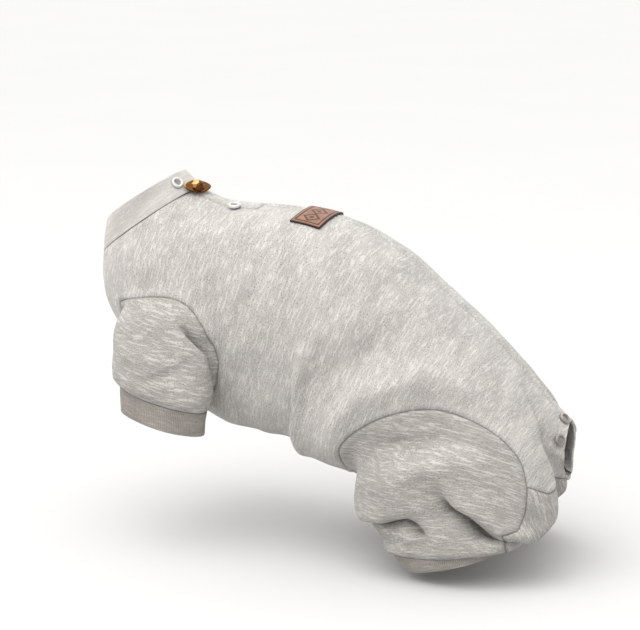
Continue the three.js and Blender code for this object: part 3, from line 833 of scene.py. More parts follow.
def node_group(title, inputs, outputs):
    """A shader node group with named sockets, its nodes, its inputs and its output node."""
    tree = bpy.data.node_groups.new(title, "ShaderNodeTree")
    for way, sockets in (("INPUT", inputs), ("OUTPUT", outputs)):
        for name, kind in sockets.items():
            tree.interface.new_socket(name=name, in_out=way, socket_type="NodeSocket" + kind)
    nodes = Nodes(tree)
    return tree, nodes, nodes.add("NodeGroupInput").outputs, nodes.add("NodeGroupOutput").inputs


def new_material(title, color, roughness, **values):
    """A Principled material. Values with sockets are linked, and the rest set on the shader."""
    material = bpy.data.materials.new(title)
    material.use_nodes = True
    nodes = Nodes(material.node_tree)
    shader = material.node_tree.nodes["Principled BSDF"]
    made = {"Base Color": color, "Roughness": roughness, **values}
    for key, value in made.items():
        value = value(nodes) if callable(value) else value
        nodes.put(shader.inputs[key.replace("_", " ")], value)
    return material


def heather_group():
    """Melange yarn: long pale slubs, short dark flecks and a cloudy ground, along the weave."""
    tree, nodes, given, out = node_group(
        "Heather yarn", {"Weave": "Vector"},
        {"Pale": "Float", "Dark": "Float", "Cloud": "Float", "Height": "Float"},
    )
    sway = nodes.noise(given["Weave"], detail=1.0, stretch=(60, 60, 60))
    sway = nodes.add("ShaderNodeCombineXYZ", {1: nodes.math("MULTIPLY", sway, 0.0035)}).outputs[0]
    path = nodes.vector("ADD", given["Weave"], sway)[0]
    slub = nodes.noise(path, detail=2.0, stretch=(105, 640, 90))
    fine_slub = nodes.noise(path, detail=1.5, stretch=(230, 1500, 170))
    fleck = nodes.noise(path, detail=1.5, stretch=(850, 1300, 300))
    fine = nodes.ramp(fine_slub, 0.52, 0.72, 0.0, 0.75)
    pale = nodes.math("MAXIMUM", nodes.ramp(slub, 0.47, 0.68), fine)
    nodes.put(out["Pale"], pale)
    nodes.put(out["Dark"], nodes.ramp(fleck, 0.5, 0.78))
    nodes.put(out["Cloud"], nodes.noise(path, detail=2.0, stretch=(26, 75, 40)))
    fine_height = nodes.math("MULTIPLY", fine_slub, 0.5)
    nodes.put(out["Height"], nodes.math("MULTIPLY_ADD", pale, 0.6, fine_height))
    return tree


def stitch_group():
    """The V-shaped loops of a knit face, as a height, from the weave and the size of a loop."""
    tree, nodes, given, out = node_group(
        "Knit loops", {"Weave": "Vector", "Loop Width": "Float", "Loop Height": "Float"},
        {"Height": "Float"},
    )
    parts = nodes.add("ShaderNodeSeparateXYZ", {0: given["Weave"]}).outputs
    column = nodes.math("PINGPONG", nodes.math("DIVIDE", parts[0], given["Loop Width"]), 0.5)
    row = nodes.math("DIVIDE", parts[1], given["Loop Height"])
    slant = nodes.math("PINGPONG", nodes.math("MULTIPLY_ADD", column, 1.3, row), 0.5)
    round_yarn = nodes.math("POWER", nodes.math("MULTIPLY", slant, 2.0), 0.6)
    gutter = nodes.ramp(column, 0.0, 0.16, 0.35, 1.0)
    nodes.put(out["Height"], nodes.math("MULTIPLY", round_yarn, gutter))
    return tree


def seam_group():
    """Colour darkened towards a seam: painted shade in its groove."""
    tree, nodes, given, out = node_group(
        "Seam shade", {"Color": "Color", "Gap": "Float", "Reach": "Float"}, {"Color": "Color"},
    )
    share = nodes.math("DIVIDE", given["Gap"], given["Reach"])
    nodes.put(out["Color"], nodes.shaded(given["Color"], nodes.ramp(share, 0.0, 1.0, 0.62, 1.0)))
    return tree


HEATHER, LOOPS, SEAM_SHADE = heather_group(), stitch_group(), seam_group()
SEAM_SHADE_REACH = 0.0011


def heather_color(ground, pale, pale_share, dark_share, groove=0.0):
    """The colour of heather cloth, with painted shade towards the seams. groove is how much darker it
    is between the ribs: painted shade in the furrows.
    """

    def color(nodes):
        yarn = nodes.use(HEATHER, {"Weave": nodes.attribute("weave")})
        made = nodes.mix(nodes.math("MULTIPLY", yarn["Pale"], pale_share), (*ground, 1), (*pale, 1))
        made = nodes.mix(nodes.math("MULTIPLY", yarn["Dark"], dark_share), made, (*DARK, 1))
        cloud = nodes.ramp(yarn["Cloud"], 0.25, 0.75, 0.88, 1.1)
        # painted shade between the ribs, darker where the crest attribute is low
        if groove:
            crest = nodes.ramp(nodes.attribute("crest", "Fac"), 0.0, 0.7, 1 - groove, 1.0)
            cloud = nodes.math("MULTIPLY", cloud, crest)
        # painted shade in the seam's groove, darker towards the seam
        put = {"Color": nodes.shaded(made, cloud), "Gap": nodes.attribute("seam_gap", "Fac")}
        return nodes.use(SEAM_SHADE, {**put, "Reach": SEAM_SHADE_REACH})["Color"]

    return color


def knit_normal(loop_width, loop_height, loops, slubs):
    def normal(nodes):
        weave = nodes.attribute("weave")
        sizes = {"Weave": weave, "Loop Width": loop_width, "Loop Height": loop_height}
        fine = nodes.bump(nodes.use(LOOPS, sizes)["Height"], 0.00018, loops)
        return nodes.bump(nodes.use(HEATHER, {"Weave": weave})["Height"], 0.00022, slubs, fine)

    return normal


JERSEY, RIB_KNIT = (0.00085, 0.00065, 0.5, 0.5), (0.0012, 0.00075, 0.35, 0.35)
DARK = (0.09, 0.084, 0.077)
GROUND, PALE = (0.35, 0.332, 0.31), (0.545, 0.524, 0.495)
# The limbs' and seat's fleece is darker than the body's: partly the knit turned across, partly painted
# shade for these lower parts.
LIMB_GROUND, LIMB_PALE = (0.278, 0.262, 0.242), (0.5, 0.479, 0.45)
RIB_GROUND = (0.44, 0.418, 0.392)
# The cuffs' rib is darker than the collar's: partly painted shade for their low place near the floor,
# partly a browner tone of their own.
CUFF_GROUND, CUFF_PALE = (0.25, 0.229, 0.206), (0.38, 0.356, 0.327)


def heather_cloth(title, color, roughness, knit, sheen):
    """A heather cloth. color is as heather_color has it, and sheen is its weight and roughness."""
    weight, spread = sheen
    return new_material(
        title, heather_color(*color), roughness, Normal=knit_normal(*knit), Sheen_Weight=weight,
        Sheen_Roughness=spread, Specular_IOR_Level=0.15,
    )


FLEECE = heather_cloth("heather fleece", (GROUND, PALE, 0.62, 0.78), 0.95, JERSEY, (0.18, 0.55))
# A darker copy of the fleece for sleeves, legs and seat, partly painted shade.
SHADED_LIMB_FLEECE = heather_cloth(
    "heather limb fleece", (LIMB_GROUND, LIMB_PALE, 0.6, 0.8), 0.95, JERSEY, (0.15, 0.55),
)
RIB = heather_cloth("heather rib", (RIB_GROUND, PALE, 0.6, 0.35, 0.1), 0.93, RIB_KNIT, (0.12, 0.5))
# A darker copy of the rib for the cuffs, partly painted shade.
SHADED_CUFF_RIB = heather_cloth(
    "heather cuff rib", (CUFF_GROUND, CUFF_PALE, 0.5, 0.5, 0.2), 0.93, RIB_KNIT, (0.1, 0.5),
)


def brushed_color(nodes):
    """The fleece's inside: raised fibre in soft clumps."""
    clump = nodes.ramp(nodes.noise(nodes.place(), 420.0, 3.0, 0.6), 0.3, 0.7)
    return nodes.mix(clump, (0.33, 0.315, 0.295, 1), (0.48, 0.46, 0.435, 1))


def brushed_normal(nodes):
    return nodes.bump(nodes.noise(nodes.place(), 900.0, 4.0, 0.7), 0.0008, 0.6)


INSIDE = new_material(
    "brushed inside", brushed_color, 1.0, Normal=brushed_normal, Sheen_Weight=0.3,
    Sheen_Roughness=0.6, Specular_IOR_Level=0.1,
)


def thread_color(nodes):
    """Two plies of sewing thread, twisted."""
    parts = nodes.weave_parts()
    lay = nodes.math("MULTIPLY_ADD", parts[1], 1.0, nodes.math("MULTIPLY", parts[0], 2600.0))
    twist = nodes.math("PINGPONG", lay, 0.5)
    return nodes.mix(nodes.ramp(twist, 0.0, 0.35), (0.27, 0.258, 0.24, 1), (0.52, 0.50, 0.475, 1))


THREAD = new_material("thread", thread_color, 0.7, Sheen_Weight=0.1, Specular_IOR_Level=0.3)


LOZENGE = 6.3, 6.6  # half the width and half the height of one
LOZENGES = 3
FRAME_INSET = 2.9  # from the patch's edge to the frame pressed into it


def pressed_line(nodes):
    """1 in the lines pressed into the patch: a frame, and a row of lozenges inside it."""
    half_down, half_across = (side / 2 for side in PATCH_SIZE)
    parts = nodes.weave_parts()
    across, down = (
        nodes.math("ABSOLUTE", nodes.math("MULTIPLY_ADD", part, 1 / MM, -half))
        for part, half in zip(parts, (half_across, half_down))
    )
    beside, below = nodes.math("SUBTRACT", half_across, across), nodes.math("SUBTRACT", half_down, down)
    border = nodes.math("SUBTRACT", nodes.math("MINIMUM", beside, below), FRAME_INSET)
    border = nodes.ramp(nodes.math("ABSOLUTE", border), 0.45, 0.8, 1.0, 0.0)
    half_width, half_height = LOZENGE
    from_middle = nodes.math("DIVIDE", nodes.math("PINGPONG", across, half_width), half_width)
    spread = nodes.math("ADD", from_middle, nodes.math("DIVIDE", down, half_height))
    outline = nodes.math("ABSOLUTE", nodes.math("SUBTRACT", spread, 0.9))
    outline = nodes.ramp(outline, 0.12, 0.2, 1.0, 0.0)
    centre = nodes.ramp(spread, 0.3, 0.38, 1.0, 0.0)
    row_end = LOZENGES * half_width
    in_row = nodes.ramp(across, row_end - 0.1 * half_width, row_end, 1.0, 0.0)
    row = nodes.math("MULTIPLY", nodes.math("MAXIMUM", outline, centre), in_row)
    return nodes.math("MAXIMUM", border, row)


def leather_color(nodes):
    """Mottled brown, burnt dark in the pressed lines and along the edge."""
    cloud = nodes.ramp(nodes.noise(nodes.place(), 130.0, 4.0, 0.6), 0.3, 0.7)
    face = nodes.mix(cloud, (0.175, 0.086, 0.056, 1), (0.24, 0.128, 0.087, 1))
    burnt = nodes.ramp(nodes.attribute("seam_gap", "Fac"), 0.0003, 0.0015, 1.0, 0.0)
    burnt = nodes.math("MAXIMUM", burnt, nodes.math("MULTIPLY", pressed_line(nodes), 0.85))
    return nodes.mix(burnt, face, (0.034, 0.017, 0.013, 1))


def leather_normal(nodes):
    put = {"Vector": nodes.place(), "Scale": 1500.0}
    grain = nodes.bump(nodes.add("ShaderNodeTexVoronoi", put).outputs[0], 0.0002, 0.35)
    return nodes.bump(nodes.math("SUBTRACT", 1.0, pressed_line(nodes)), 0.0004, 0.8, grain)


LEATHER = new_material(
    "cognac leather", leather_color, 0.55, Normal=leather_normal, Specular_IOR_Level=0.25,
)


def swirl_color(low, high):
    """The swirled colour of moulded plastic, between two tones."""

    def color(nodes):
        swirl = nodes.ramp(nodes.noise(nodes.place(), 260.0, 3.0, 0.6), 0.3, 0.7)
        return nodes.mix(swirl, (*low, 1), (*high, 1))

    return color


PEARL = new_material(
    "pearl plastic", swirl_color((0.42, 0.41, 0.395), (0.55, 0.54, 0.525)), 0.28,
    Coat_Weight=0.5, Coat_Roughness=0.12, Specular_IOR_Level=0.55,
)
# A darker copy of the pearl plastic for the snaps at the tail: painted shade, as they sit in the shaded
# part of the tail opening.
SHADED_PEARL = new_material(
    "pearl plastic in painted shade", swirl_color((0.15, 0.135, 0.12), (0.22, 0.2, 0.18)), 0.3,
    Coat_Weight=0.5, Coat_Roughness=0.12, Specular_IOR_Level=0.5,
)


# The way that facets face to get the lighter colour of a painted reflection.
BRASS_PAINTED_REFLECTION_WAY = (-0.62, -0.2, 0.75)


def brass_color(nodes):
    """Brass with tarnish, and painted reflection: facets that face up and to the left are brighter, the
    others browner.
    """
    tarnish = nodes.noise(nodes.place(), 330.0, 4.0, 0.65)
    # Painted reflection: facets facing up and to the left get the lighter colour, and the tarnish noise
    # only varies it.
    facing = nodes.add("ShaderNodeNewGeometry").outputs["True Normal"]
    bright = nodes.vector("DOT_PRODUCT", facing, BRASS_PAINTED_REFLECTION_WAY)["Value"]
    bright = nodes.ramp(nodes.math("MULTIPLY_ADD", tarnish, 0.3, bright), 0.25, 1.1)
    return nodes.mix(bright, (0.11, 0.045, 0.016, 1), (0.62, 0.36, 0.13, 1))


def brass_roughness(nodes):
    return nodes.ramp(nodes.noise(nodes.place(), 500.0, 3.0, 0.6), 0.3, 0.7, 0.14, 0.34)


BRASS = new_material("brass", brass_color, brass_roughness, Metallic=1.0)


def floor_color(nodes):
    cloud = nodes.noise(nodes.place(), 3.0, 2.0)
    return nodes.mix(cloud, (0.482, 0.48, 0.474, 1), (0.498, 0.496, 0.49, 1))


FLOOR = new_material("pale floor", floor_color, 0.9, Specular_IOR_Level=0.1)


# ---- meshes ----
def new_piece(name, points, faces, materials, slot, **point_values):
    """A piece in the frame's metres, from points in the tables' millimetres."""
    mesh = bpy.data.meshes.new(name)
    faces = faces.tolist() if isinstance(faces, np.ndarray) else faces
    mesh.from_pydata(((points + [0, 0, BACK_DROP]) * MM).tolist(), [], faces)
    mesh.shade_smooth()
    for title, values in point_values.items():
        kind, field = ("FLOAT_VECTOR", "vector") if values.ndim == 2 else ("FLOAT", "value")
        stored = mesh.attributes.new(title, kind, "POINT")
        stored.data.foreach_set(field, values.astype(np.float32).ravel())
    for material in materials:
        mesh.materials.append(material)
    piece = bpy.data.objects.new(name, mesh)
    bpy.context.scene.collection.objects.link(piece)
    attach(piece, "root")
    return piece


def cloth_panel(name, points, tris, weave, gap):
    """One panel of fleece, with its knit face, its brushed inside and its edges."""
    normals = normals_of(points, tris)
    size = len(points)
    sides = np.concatenate([tris[:, [0, 1]], tris[:, [1, 2]], tris[:, [2, 0]]]).astype(np.int64)
    forth, back = sides[:, 0] * size + sides[:, 1], sides[:, 1] * size + sides[:, 0]
    a, b = sides[~np.isin(forth, back)].T
    rim = np.concatenate([np.stack([b, a, a + size], 1), np.stack([b, a + size, b + size], 1)])
    faces = np.concatenate([tris, tris[:, ::-1] + size, rim])
    shell = np.concatenate([points, points - FLEECE_WALL * normals])
    piece = new_piece(
        name + "_cloth", shell, faces,
        [FLEECE if name.startswith("body") else SHADED_LIMB_FLEECE, INSIDE], "fleece",
        weave=np.concatenate([weave, weave]), seam_gap=np.concatenate([gap, gap]),
    )
    inner = np.zeros(len(faces), np.int32)
    inner[len(tris) : 2 * len(tris)] = 1
    piece.data.polygons.foreach_set("material_index", inner)
    ends = np.empty(2 * len(piece.data.edges), np.int32)
    piece.data.edges.foreach_get("vertices", ends)
    rims = np.stack([a, b], 1)
    rims = np.concatenate([rims, rims + size])
    keys = [
        pairs.min(1) * 2 * size + pairs.max(1)
        for pairs in (ends.reshape(-1, 2).astype(np.int64), rims)
    ]
    crisp = piece.data.attributes.new("sharp_edge", "BOOLEAN", "EDGE")
    crisp.data.foreach_set("value", np.isin(*keys))
    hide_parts(name)
    return piece


def grid_faces(rows, columns, wrap_rows, wrap_columns):
    """The four-cornered faces of a grid of points, closed on itself where it wraps."""
    grid = np.arange(rows * columns).reshape(rows, columns)
    if wrap_rows:
        grid = np.concatenate([grid, grid[:1]])
    if wrap_columns:
        grid = np.concatenate([grid, grid[:, :1]], 1)
    return np.stack([grid[:-1, :-1], grid[:-1, 1:], grid[1:, 1:], grid[1:, :-1]], -1).reshape(-1, 4)


# ---- rib ----
TUCK = [(-3.6, 2.5), (-1.6, 2.2), (-1.2, 1.3), (-0.9, 0.5), (-0.5, 0.15), (0.6, 0.0)]
TUCK_BACK = [(-0.8, 2.9), (-3.6, 3.3)]  # the inner layer's edge, under the cloth it is sewn to
FOLD_RADIUS = RIB_WALL / 2


def folded_profile(width, rows):
    """Distance down a strip folded double, and depth into it, once round its section."""
    bottom = width - 1.5
    outer = [(down, 0.0) for down in np.linspace(2, bottom, rows)]
    bend = np.linspace(0, np.pi, 9)[1:-1]
    fold = [(width - 1.1 + 1.1 * np.sin(a), FOLD_RADIUS * (1 - np.cos(a))) for a in bend]
    inner = [(down, RIB_WALL) for down in np.linspace(bottom, 0.6, max(3, rows // 2))]
    return np.array(TUCK + outer + fold + inner + TUCK_BACK)


def ribbed_strip(name, surface, width, length, rows, closed, node, material):
    """A strip of rib folded double. surface(along, down, lift) places a point of it."""
    down, deep = folded_profile(width, rows).T[:, :, None]
    ribs = round(length / RIB_PITCH)
    steps = ribs * RIB_STEPS
    along = np.arange(steps + (not closed)) / steps
    rng = np.random.default_rng(len(name))
    strength = np.repeat(rng.uniform(0.75, 1.15, ribs), steps // ribs)
    strength = np.append(strength, strength[:1])[: len(along)]
    ridges = np.cos(2 * np.pi * ribs * along)
    swell = np.where(deep < FOLD_RADIUS, 1, -1) * np.clip((down + 1.2) / 2, 0, 1)
    lift = RIB_DEPTH * strength * ridges * swell - deep
    faces = grid_faces(*lift.shape, True, closed)
    if not closed:
        start = lift.shape[1] * np.arange(len(down))
        faces = faces.tolist() + [start.tolist(), (start + len(along) - 1)[::-1].tolist()]
    along, down = along + 0 * lift, down + 0 * lift
    # seam_gap darkens the rib towards its sewn edge: painted shade in the seam, the tucked edge fully
    piece = new_piece(
        name, surface(along, down / width, lift).reshape(-1, 3), faces, [material], "rib",
        weave=np.stack([along * length, down, 0 * lift], -1).reshape(-1, 3) * MM,
        crest=(0.5 + 0.5 * ridges + 0 * lift).ravel(), seam_gap=(down.ravel() + 0.8) * MM,
    )
    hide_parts(node)
    return piece


def ring_length(ring, closed):
    """The length of a ring or line of points."""
    steps = ring - np.roll(ring, 1, axis=0)
    return np.linalg.norm(steps if closed else steps[1:], axis=1).sum()


def cuff_piece(name, rows, side):
    """A cuff, and the length and width of its strip."""
    last = last_row(rows)

    def surface(along, down, lift):
        turn = 2 * np.pi * along * side
        sway = 0.35 * np.sin(3 * turn + 4 * down) + 0.3 * np.sin(5 * turn + 1)
        return limb_point(rows, down * last, side, turn, lift + sway * down)

    length = ring_length(limb_point(rows, last / 2, side, turns(90)), True)
    top, bottom = limb_point(rows, np.array([0, last])[:, None], side, turns(8)[None])
    width = np.linalg.norm(top - bottom, axis=1).mean()
    strip = ribbed_strip(name + "_rib", surface, width, length, 12, True, name, SHADED_CUFF_RIB)
    return strip, (length, width)


def collar_surface(along, down, lift):
    """A point of the collar, which rises where its left end laps over the right one."""
    turn = -COLLAR_LAP + along * (2 * np.pi + COLLAR_UNDERLAP + COLLAR_LAP)
    share = np.clip((turn - COLLAR_UNDERLAP) / COLLAR_SETTLE, 0, 1)
    rise = COLLAR_LIFT * (1 - share * share * (3 - 2 * share))
    sway = 0.5 * np.sin(4 * turn + 1) * down + 0.3 * np.sin(7 * turn) * down
    return section_point(COLLAR, down * last_row(COLLAR), turn, lift + rise + sway)


def collar_piece():
    """The collar, and the length and width of its strip."""
    turn = np.linspace(-COLLAR_LAP, 2 * np.pi + COLLAR_UNDERLAP, 200)
    length = ring_length(section_point(COLLAR, 1.0, turn), False)
    strip = ribbed_strip(
        "collar_rib", collar_surface, COLLAR_WIDTH, length, 14, False, "collar", RIB,
    )
    return strip, (length, COLLAR_WIDTH)


# ---- what lies on the back ----
def outward(rows, place, turn):
    """The outward direction of a table's surface."""
    step = 0.01
    along_rows = section_point(rows, place + step, turn) - section_point(rows, place - step, turn)
    along_turn = section_point(rows, place, turn + step) - section_point(rows, place, turn - step)
    normal = np.cross(along_turn, along_rows)
    normal /= np.linalg.norm(normal, axis=-1, keepdims=True)
    away = section_point(rows, place, turn, 1) - section_point(rows, place, turn)
    return normal * np.sign((normal * away).sum(-1, keepdims=True))


PROBE = 9  # how far above and below a table's surface the made cloth is looked for


def on_skin(rows, place, turn):
    """Where the made cloth lies under points of a table's surface, and which way is out."""
    points = np.atleast_2d(section_point(rows, place, turn))
    ways = np.broadcast_to(outward(rows, place, turn), points.shape)
    shape = points.shape
    points, ways = points.reshape(-1, 3).copy(), ways.reshape(-1, 3)
    for i, (point, way) in enumerate(zip(points, ways)):
        hit = SKIN.ray_cast(Vector(point + PROBE * way), Vector(-way), 2 * PROBE)[0]
        if hit is not None:
            points[i] = hit
    return points.reshape(shape), ways.reshape(shape)


def place_after(start, distance):
    """The place reached by walking a distance rearwards along the centre back."""
    places = start + np.arange(0, 4, 0.01)
    walk = np.linalg.norm(np.diff(section_point(TRUNK, places, 0.0), axis=0), axis=1).cumsum()
    return places[1 + np.searchsorted(walk, distance)]


def turn_across(place, distance):
    """The turn reached by walking a distance round a section from the centre back."""
    spread = np.arange(0, 2, 0.005)
    walk = np.linalg.norm(np.diff(section_point(TRUNK, place, spread), axis=0), axis=1).cumsum()
    return spread[1 + np.searchsorted(walk, distance)]


def edge_steps(length, rounding, count):
    """Distances from one edge to the other, close together where the edges are rounded."""
    near = rounding * np.array([0, 0.06, 0.25, 0.55, 1])
    middle = np.linspace(rounding, length - rounding, count)[1:-1]
    return np.concatenate([near, middle, length - near[::-1]])


def slab(name, span, size, material, slot, *, thick, rounding, gap, settling, shade_and_burn_from):
    """A soft-edged slab that follows the cloth under it, smoothed by so many rounds of settling."""
    length, width = size
    along, across = edge_steps(length, rounding, 40), edge_steps(width, rounding, 48)
    inset = np.minimum(
        np.minimum(along, length - along)[:, None], np.minimum(across, width - across)[None]
    )
    along, across = along[:, None] + 0 * inset, across[None] + 0 * inset
    place = span["from"] + (span["to"] - span["from"]) * along / length
    turn = span["right"] + (span["left"] - span["right"]) * across / width
    foot, way = on_skin(TRUNK, place, turn)
    drawn = section_point(TRUNK, place, turn)
    rise = ((foot - drawn) * way).sum(-1)
    for _ in range(settling):
        wide = np.pad(rise, 1, mode="edge")
        rise = (wide[:-2, 1:-1] + wide[2:, 1:-1] + wide[1:-1, :-2] + wide[1:-1, 2:]) / 4
    shy = np.clip(1 - inset / rounding, 0, 1)
    cut = rounding * (1 - np.sqrt(1 - shy**2))
    upper = drawn + way * (rise + gap + thick - cut)[..., None]
    lower = drawn + way * (rise + gap)[..., None]
    faces = grid_faces(*inset.shape, False, False)
    grid = np.arange(inset.size).reshape(inset.shape)
    ring = np.concatenate([grid[0, :-1], grid[:-1, -1], grid[-1, :0:-1], grid[:0:-1, 0]])
    onward = np.roll(ring, -1)
    walls = np.stack([ring, onward, onward + inset.size, ring + inset.size], 1)
    faces = np.concatenate([faces[:, ::-1], faces + inset.size, walls])
    weave = np.stack([across, along, 0 * inset], -1).reshape(-1, 3) * MM
    # The distance from the slab's edge, plus an offset, darkens its edge: painted seam shade on the
    # fleece placket, a real burnt edge on the leather patch.
    edge = (inset.ravel() + shade_and_burn_from) * MM
    return new_piece(
        name, np.concatenate([upper, lower]).reshape(-1, 3), faces, [material], slot,
        weave=np.concatenate([weave, weave]), seam_gap=np.concatenate([edge, edge]),
    )


def turned(profile, sides):
    """Points and faces of a profile of (radius, height) turned about +Z."""
    radius, height = np.array(profile, float).T
    turn = turns(sides)[:, None]
    points = np.stack([radius * np.cos(turn), radius * np.sin(turn), height + 0 * turn], -1)
    faces = grid_faces(sides, len(profile), True, False)
    return points.reshape(-1, 3), faces


def spun(points, angle, axis):
    """Points turned about an axis of their own frame."""
    return points @ np.array(Matrix.Rotation(angle, 3, axis)).T


def seated(points, rows, place, turn, gap, spin):
    """Points modelled about +Z, set above a spot of a table's surface."""
    foot, way = on_skin(rows, place, turn)
    upright = Vector(way[0]).to_track_quat("Z", "Y").to_matrix()
    return spun(points, spin, "Z") @ np.array(upright).T + foot[0] + gap * way[0]


def merged(parts):
    """Points and faces of several shapes as one."""
    points, faces, base = [], [], 0
    for part_points, part_faces in parts:
        points.append(part_points)
        faces += [[base + corner for corner in face] for face in part_faces]
        base += len(part_points)
    return np.concatenate(points), faces


RING_SNAP = [
    (4.45, 0), (4.6, 0.45), (4.55, 1.15), (4.25, 1.75), (3.8, 2.1), (3.35, 2.15), (2.95, 1.9),
    (2.7, 1.45), (2.6, 0.8), (2.55, 0.5), (2.3, 0.42), (1.2, 0.5), (0, 0.52),
]
SNAP_CLOTH_FROM = 9  # the profile's steps from here on are the cloth inside the ring
SNAP_SIDES = 40


def ring_snap(node, rows, place, turn, gap, spin, material):
    """A ring of plastic pressed through the cloth, which shows inside it."""
    points, faces = turned(RING_SNAP + [(0, 0)], SNAP_SIDES)
    points = seated(points, rows, place, turn, gap, spin)
    piece = new_piece(node + "_ring", points, faces, [material, FLEECE], "snap", weave=points * MM)
    last = len(RING_SNAP) - 1
    step = np.tile(np.arange(last + 1), SNAP_SIDES)
    number = ((step >= SNAP_CLOTH_FROM) & (step < last)).astype(np.int32)
    piece.data.polygons.foreach_set("material_index", number)
    weld(piece)
    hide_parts(node)
    return piece


def weld(piece):
    """Joins points that lie on each other, such as those on a turned shape's axis."""
    work = bmesh.new()
    work.from_mesh(piece.data)
    bmesh.ops.remove_doubles(work, verts=work.verts, dist=1e-7)
    bmesh.ops.dissolve_degenerate(work, edges=work.edges, dist=1e-7)
    bmesh.ops.recalc_face_normals(work, faces=work.faces)
    work.to_mesh(piece.data)
    work.free()


CHARM_HALF, CHARM_SIDE, CHARM_SCALE = 10.5, 5.8, 1.1
CHARM_SPIN, CHARM_LEAN = -0.12, 0.3
PLATE_STEPS = [(0.0, 0.0), (0.93, 0), (1, 0.22), (1, 0.98), (0.93, 1.2), (0.0, 1.2)]
DOME = [(4.9, 0.9, 0), (5.0, 1.7, 0), (4.3, 3.2, 1), (2.9, 4.8, 0), (1.2, 5.8, 1)]
DOME_SIDES = 9


def charm_plate():
    """A thin plate drawn out to two points. Each step is a share of its outline and a height."""
    angle = turns(64)
    point = np.abs(np.cos(angle)) ** 2.4 * np.sign(np.cos(angle)) * (CHARM_HALF - CHARM_SIDE)
    outline = CHARM_SIDE * np.cos(angle) + point, CHARM_SIDE * np.sin(angle) * 0.98
    share, height = np.array(PLATE_STEPS).T
    points = [np.outer(side, share) for side in outline] + [np.tile(height, (64, 1))]
    faces = grid_faces(64, len(PLATE_STEPS), True, False)
    return np.stack(points, -1).reshape(-1, 3), faces


def charm_dome():
    """A cut dome. Each ring is a radius, a height, and 1 where it is turned by half a facet."""
    points = []
    for radius, height, twist in DOME:
        angle = turns(DOME_SIDES) + twist * np.pi / DOME_SIDES
        ring = [radius * np.cos(angle), radius * np.sin(angle), height + 0 * angle]
        points.append(np.stack(ring, 1))
    top = DOME_SIDES * (len(DOME) - 1)
    faces = [list(range(DOME_SIDES))[::-1], list(range(top, top + DOME_SIDES))]
    for ring, (lower, upper) in enumerate(zip(DOME, DOME[1:])):
        for k in range(DOME_SIDES):
            a, b = ring * DOME_SIDES + k, ring * DOME_SIDES + (k + 1) % DOME_SIDES
            c, d = a + DOME_SIDES, b + DOME_SIDES
            if upper[2] == lower[2]:
                faces.append([a, b, d, c])
            elif upper[2] > lower[2]:
                faces += [[a, b, c], [b, d, c]]
            else:
                faces += [[a, b, d], [a, d, c]]
    return np.concatenate(points), faces


def charm_piece(rows, place, turn, gap):
    points, faces = merged([charm_plate(), charm_dome()])
    points = spun(points, CHARM_LEAN, "X") * CHARM_SCALE
    points = seated(points, rows, place, turn, gap, CHARM_SPIN)
    piece = new_piece("charm_brass", points, faces, [BRASS], "brass")
    weld(piece)
    piece.data.shade_flat()
    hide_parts("brass_charm")
    return piece


STITCH_PITCH, STITCH_LENGTH, STITCH_RADIUS, STITCH_SIDES = 3.2, 2.3, 0.22, 6
BOW = np.array([  # points along a stitch: share of its half length, rise and thickness
    (-1, -0.25, 0.5), (-0.75, 0.0, 0.9), (0, 0.16, 1), (0.75, 0.0, 0.9), (1, -0.25, 0.5),
])


def stitch_row(line, ways):
    """Separate stitches along a line of points on the cloth, each sunk at its ends."""
    walk = np.concatenate([[0], np.linalg.norm(np.diff(line, axis=0), axis=1).cumsum()])
    share, rise, thick = BOW.T[:, :, None]
    angle = turns(STITCH_SIDES)[:, None]
    shapes = []
    for middle in np.arange(STITCH_PITCH, walk[-1] - STITCH_PITCH / 2, STITCH_PITCH):
        at = middle + share[:, 0] * STITCH_LENGTH / 2
        core = np.stack([np.interp(at, walk, column) for column in line.T], 1)
        up = ways[min(np.searchsorted(walk, middle), len(ways) - 1)]
        along = core[-1] - core[0]
        aside = np.cross(along / np.linalg.norm(along), up)
        around = np.cos(angle) * aside + 0.8 * np.sin(angle) * up
        rings = (core + up * rise)[:, None] + STITCH_RADIUS * thick[..., None] * around
        faces = grid_faces(len(BOW), STITCH_SIDES, False, True).tolist()
        ends = np.arange(STITCH_SIDES)
        faces += [ends[::-1].tolist(), (ends + STITCH_SIDES * (len(BOW) - 1)).tolist()]
        shapes.append((rings.reshape(-1, 3), faces))
    return shapes


BACK_SEAM_END, BACK_STITCH_OUT = 12.2, 3.2  # the last place sewn, and how far beside the seam


def back_stitches():
    """Two rows of stitches beside the back seam, from the placket to the tail, but for the patch."""
    places = np.arange(PLACKET["to"] + 0.15, BACK_SEAM_END, 0.05)
    half = row_at(TRUNK, places)["half"]
    clear = (places < PATCH["from"] - 0.1) | (places > PATCH["to"] + 0.1)
    shapes = []
    for side in (-1, 1):
        turn = side * BACK_STITCH_OUT / half
        line, ways = on_skin(TRUNK, places[:, None], turn[:, None])
        for run in np.split(np.arange(len(places)), np.flatnonzero(np.diff(clear)) + 1):
            if clear[run[0]]:
                shapes += stitch_row(line[run, 0], ways[run, 0])
    return new_piece("back_stitches", *merged(shapes), [THREAD], "fleece")


# ---- the suit ----
PANELS_MADE, SKIN = sew()
CLOTH = {name: cloth_panel(name, *made) for name, made in PANELS_MADE.items()}
RIBS = dict(cuff_piece(cuff, *values) for cuff, values in CUFFS.items())
RIBS.update([collar_piece()])

